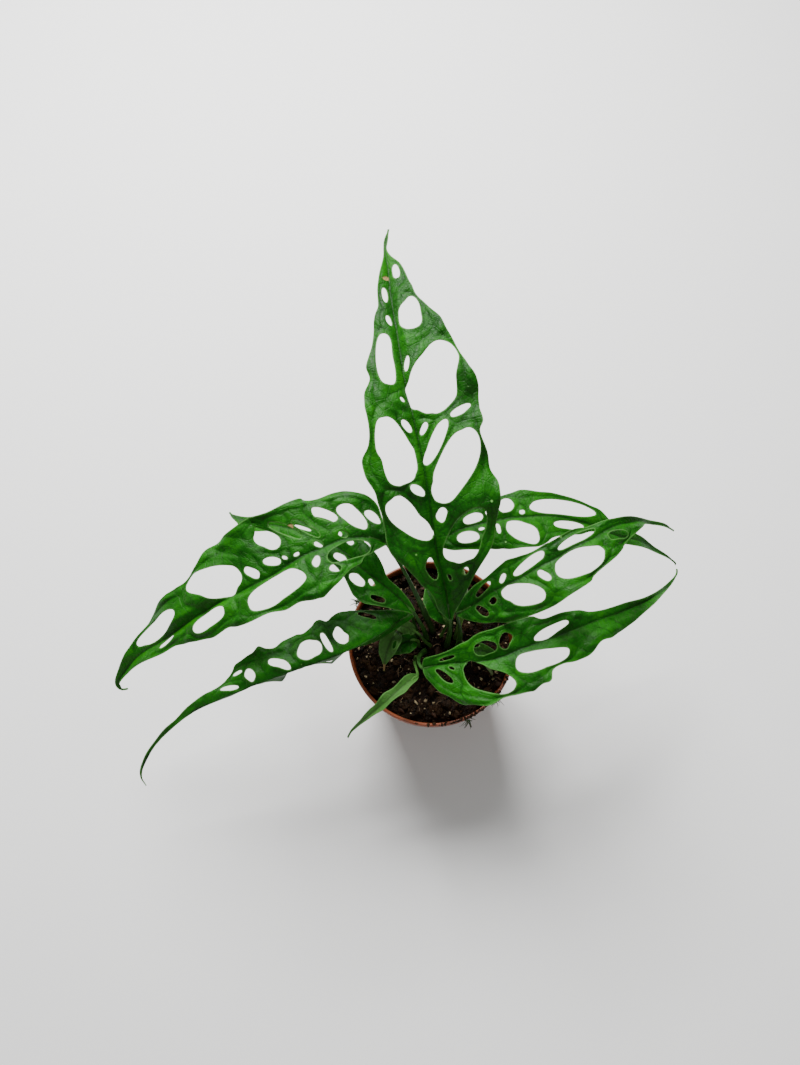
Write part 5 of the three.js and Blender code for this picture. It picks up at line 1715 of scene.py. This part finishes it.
class MONSTERA_OT_stage(bpy.types.Operator):
    """Sets up the floor, the soft lights and the camera"""

    bl_idname = "monstera.stage"
    bl_label = "Stage"

    def execute(self, context):
        settings = context.scene.monstera_stage
        bpy.ops.mesh.primitive_plane_add(size=FLOOR_SIZE)
        floor = context.object
        floor.name = "floor"
        floor.data.materials.append(floor_material(settings.floor))
        self.light("key_light", *KEY_LIGHT, settings.key_power)
        self.light("fill_light", *FILL_LIGHT, settings.fill_power)
        world = context.scene.world or bpy.data.worlds.new("studio")
        context.scene.world = world
        world.use_nodes = True
        background = world.node_tree.nodes["Background"]
        background.inputs["Color"].default_value = (1, 1, 1, 1)
        background.inputs["Strength"].default_value = settings.sky
        camera = bpy.data.objects.new("camera", bpy.data.cameras.new("camera"))
        context.scene.collection.objects.link(camera)
        camera.location = settings.camera_place
        camera.rotation_euler = (settings.camera_tilt, 0, 0)
        camera.data.sensor_width = FRAME_WIDTH
        camera.data.lens = settings.focal_length
        camera.data.clip_start = NEAREST_VIEW
        context.scene.camera = camera
        return {"FINISHED"}

    def light(self, name, place, size, power):
        """Square soft light that looks at the plant."""
        light = bpy.data.objects.new(name, bpy.data.lights.new(name, "AREA"))
        bpy.context.scene.collection.objects.link(light)
        light.location = place
        towards = Vector(PLANT_MIDDLE) - Vector(place)
        light.rotation_euler = towards.to_track_quat("-Z", "Y").to_euler()
        light.data.size = size
        light.data.energy = power


class MONSTERA_PT_panel(bpy.types.Panel):
    """Lists the steps in the sidebar"""

    bl_label = "Potted monstera obliqua"
    bl_idname = "MONSTERA_PT_panel"
    bl_space_type = "VIEW_3D"
    bl_region_type = "UI"
    bl_category = "Monstera"

    def draw(self, context):
        for operator in OPERATORS:
            self.layout.operator(operator.bl_idname)


OPERATORS = (
    MONSTERA_OT_stage, MONSTERA_OT_pot, MONSTERA_OT_soil, MONSTERA_OT_large_leaves,
    MONSTERA_OT_young_leaves, MONSTERA_OT_spear, MONSTERA_OT_root,
)
SETTINGS = {
    "monstera_leaves": LeafSettings,
    "monstera_pot": PotSettings,
    "monstera_soil": SoilSettings,
    "monstera_stage": StageSettings,
}


def register():
    """Registers the settings, the operators and the panel."""
    for title, group in SETTINGS.items():
        bpy.utils.register_class(group)
        setattr(bpy.types.Scene, title, bpy.props.PointerProperty(type=group))
    for kind in (*OPERATORS, MONSTERA_PT_panel):
        bpy.utils.register_class(kind)


def unregister():
    """Takes back what register did."""
    for kind in (MONSTERA_PT_panel, *reversed(OPERATORS)):
        bpy.utils.unregister_class(kind)
    for title, group in SETTINGS.items():
        delattr(bpy.types.Scene, title)
        bpy.utils.unregister_class(group)


def main():
    """Builds every piece in order."""
    register()
    bpy.ops.monstera.stage()
    bpy.ops.monstera.pot()
    bpy.ops.monstera.soil()
    bpy.ops.monstera.large_leaves()
    bpy.ops.monstera.young_leaves()
    bpy.ops.monstera.spear()
    bpy.ops.monstera.root()


if __name__ == "__main__":
    main()
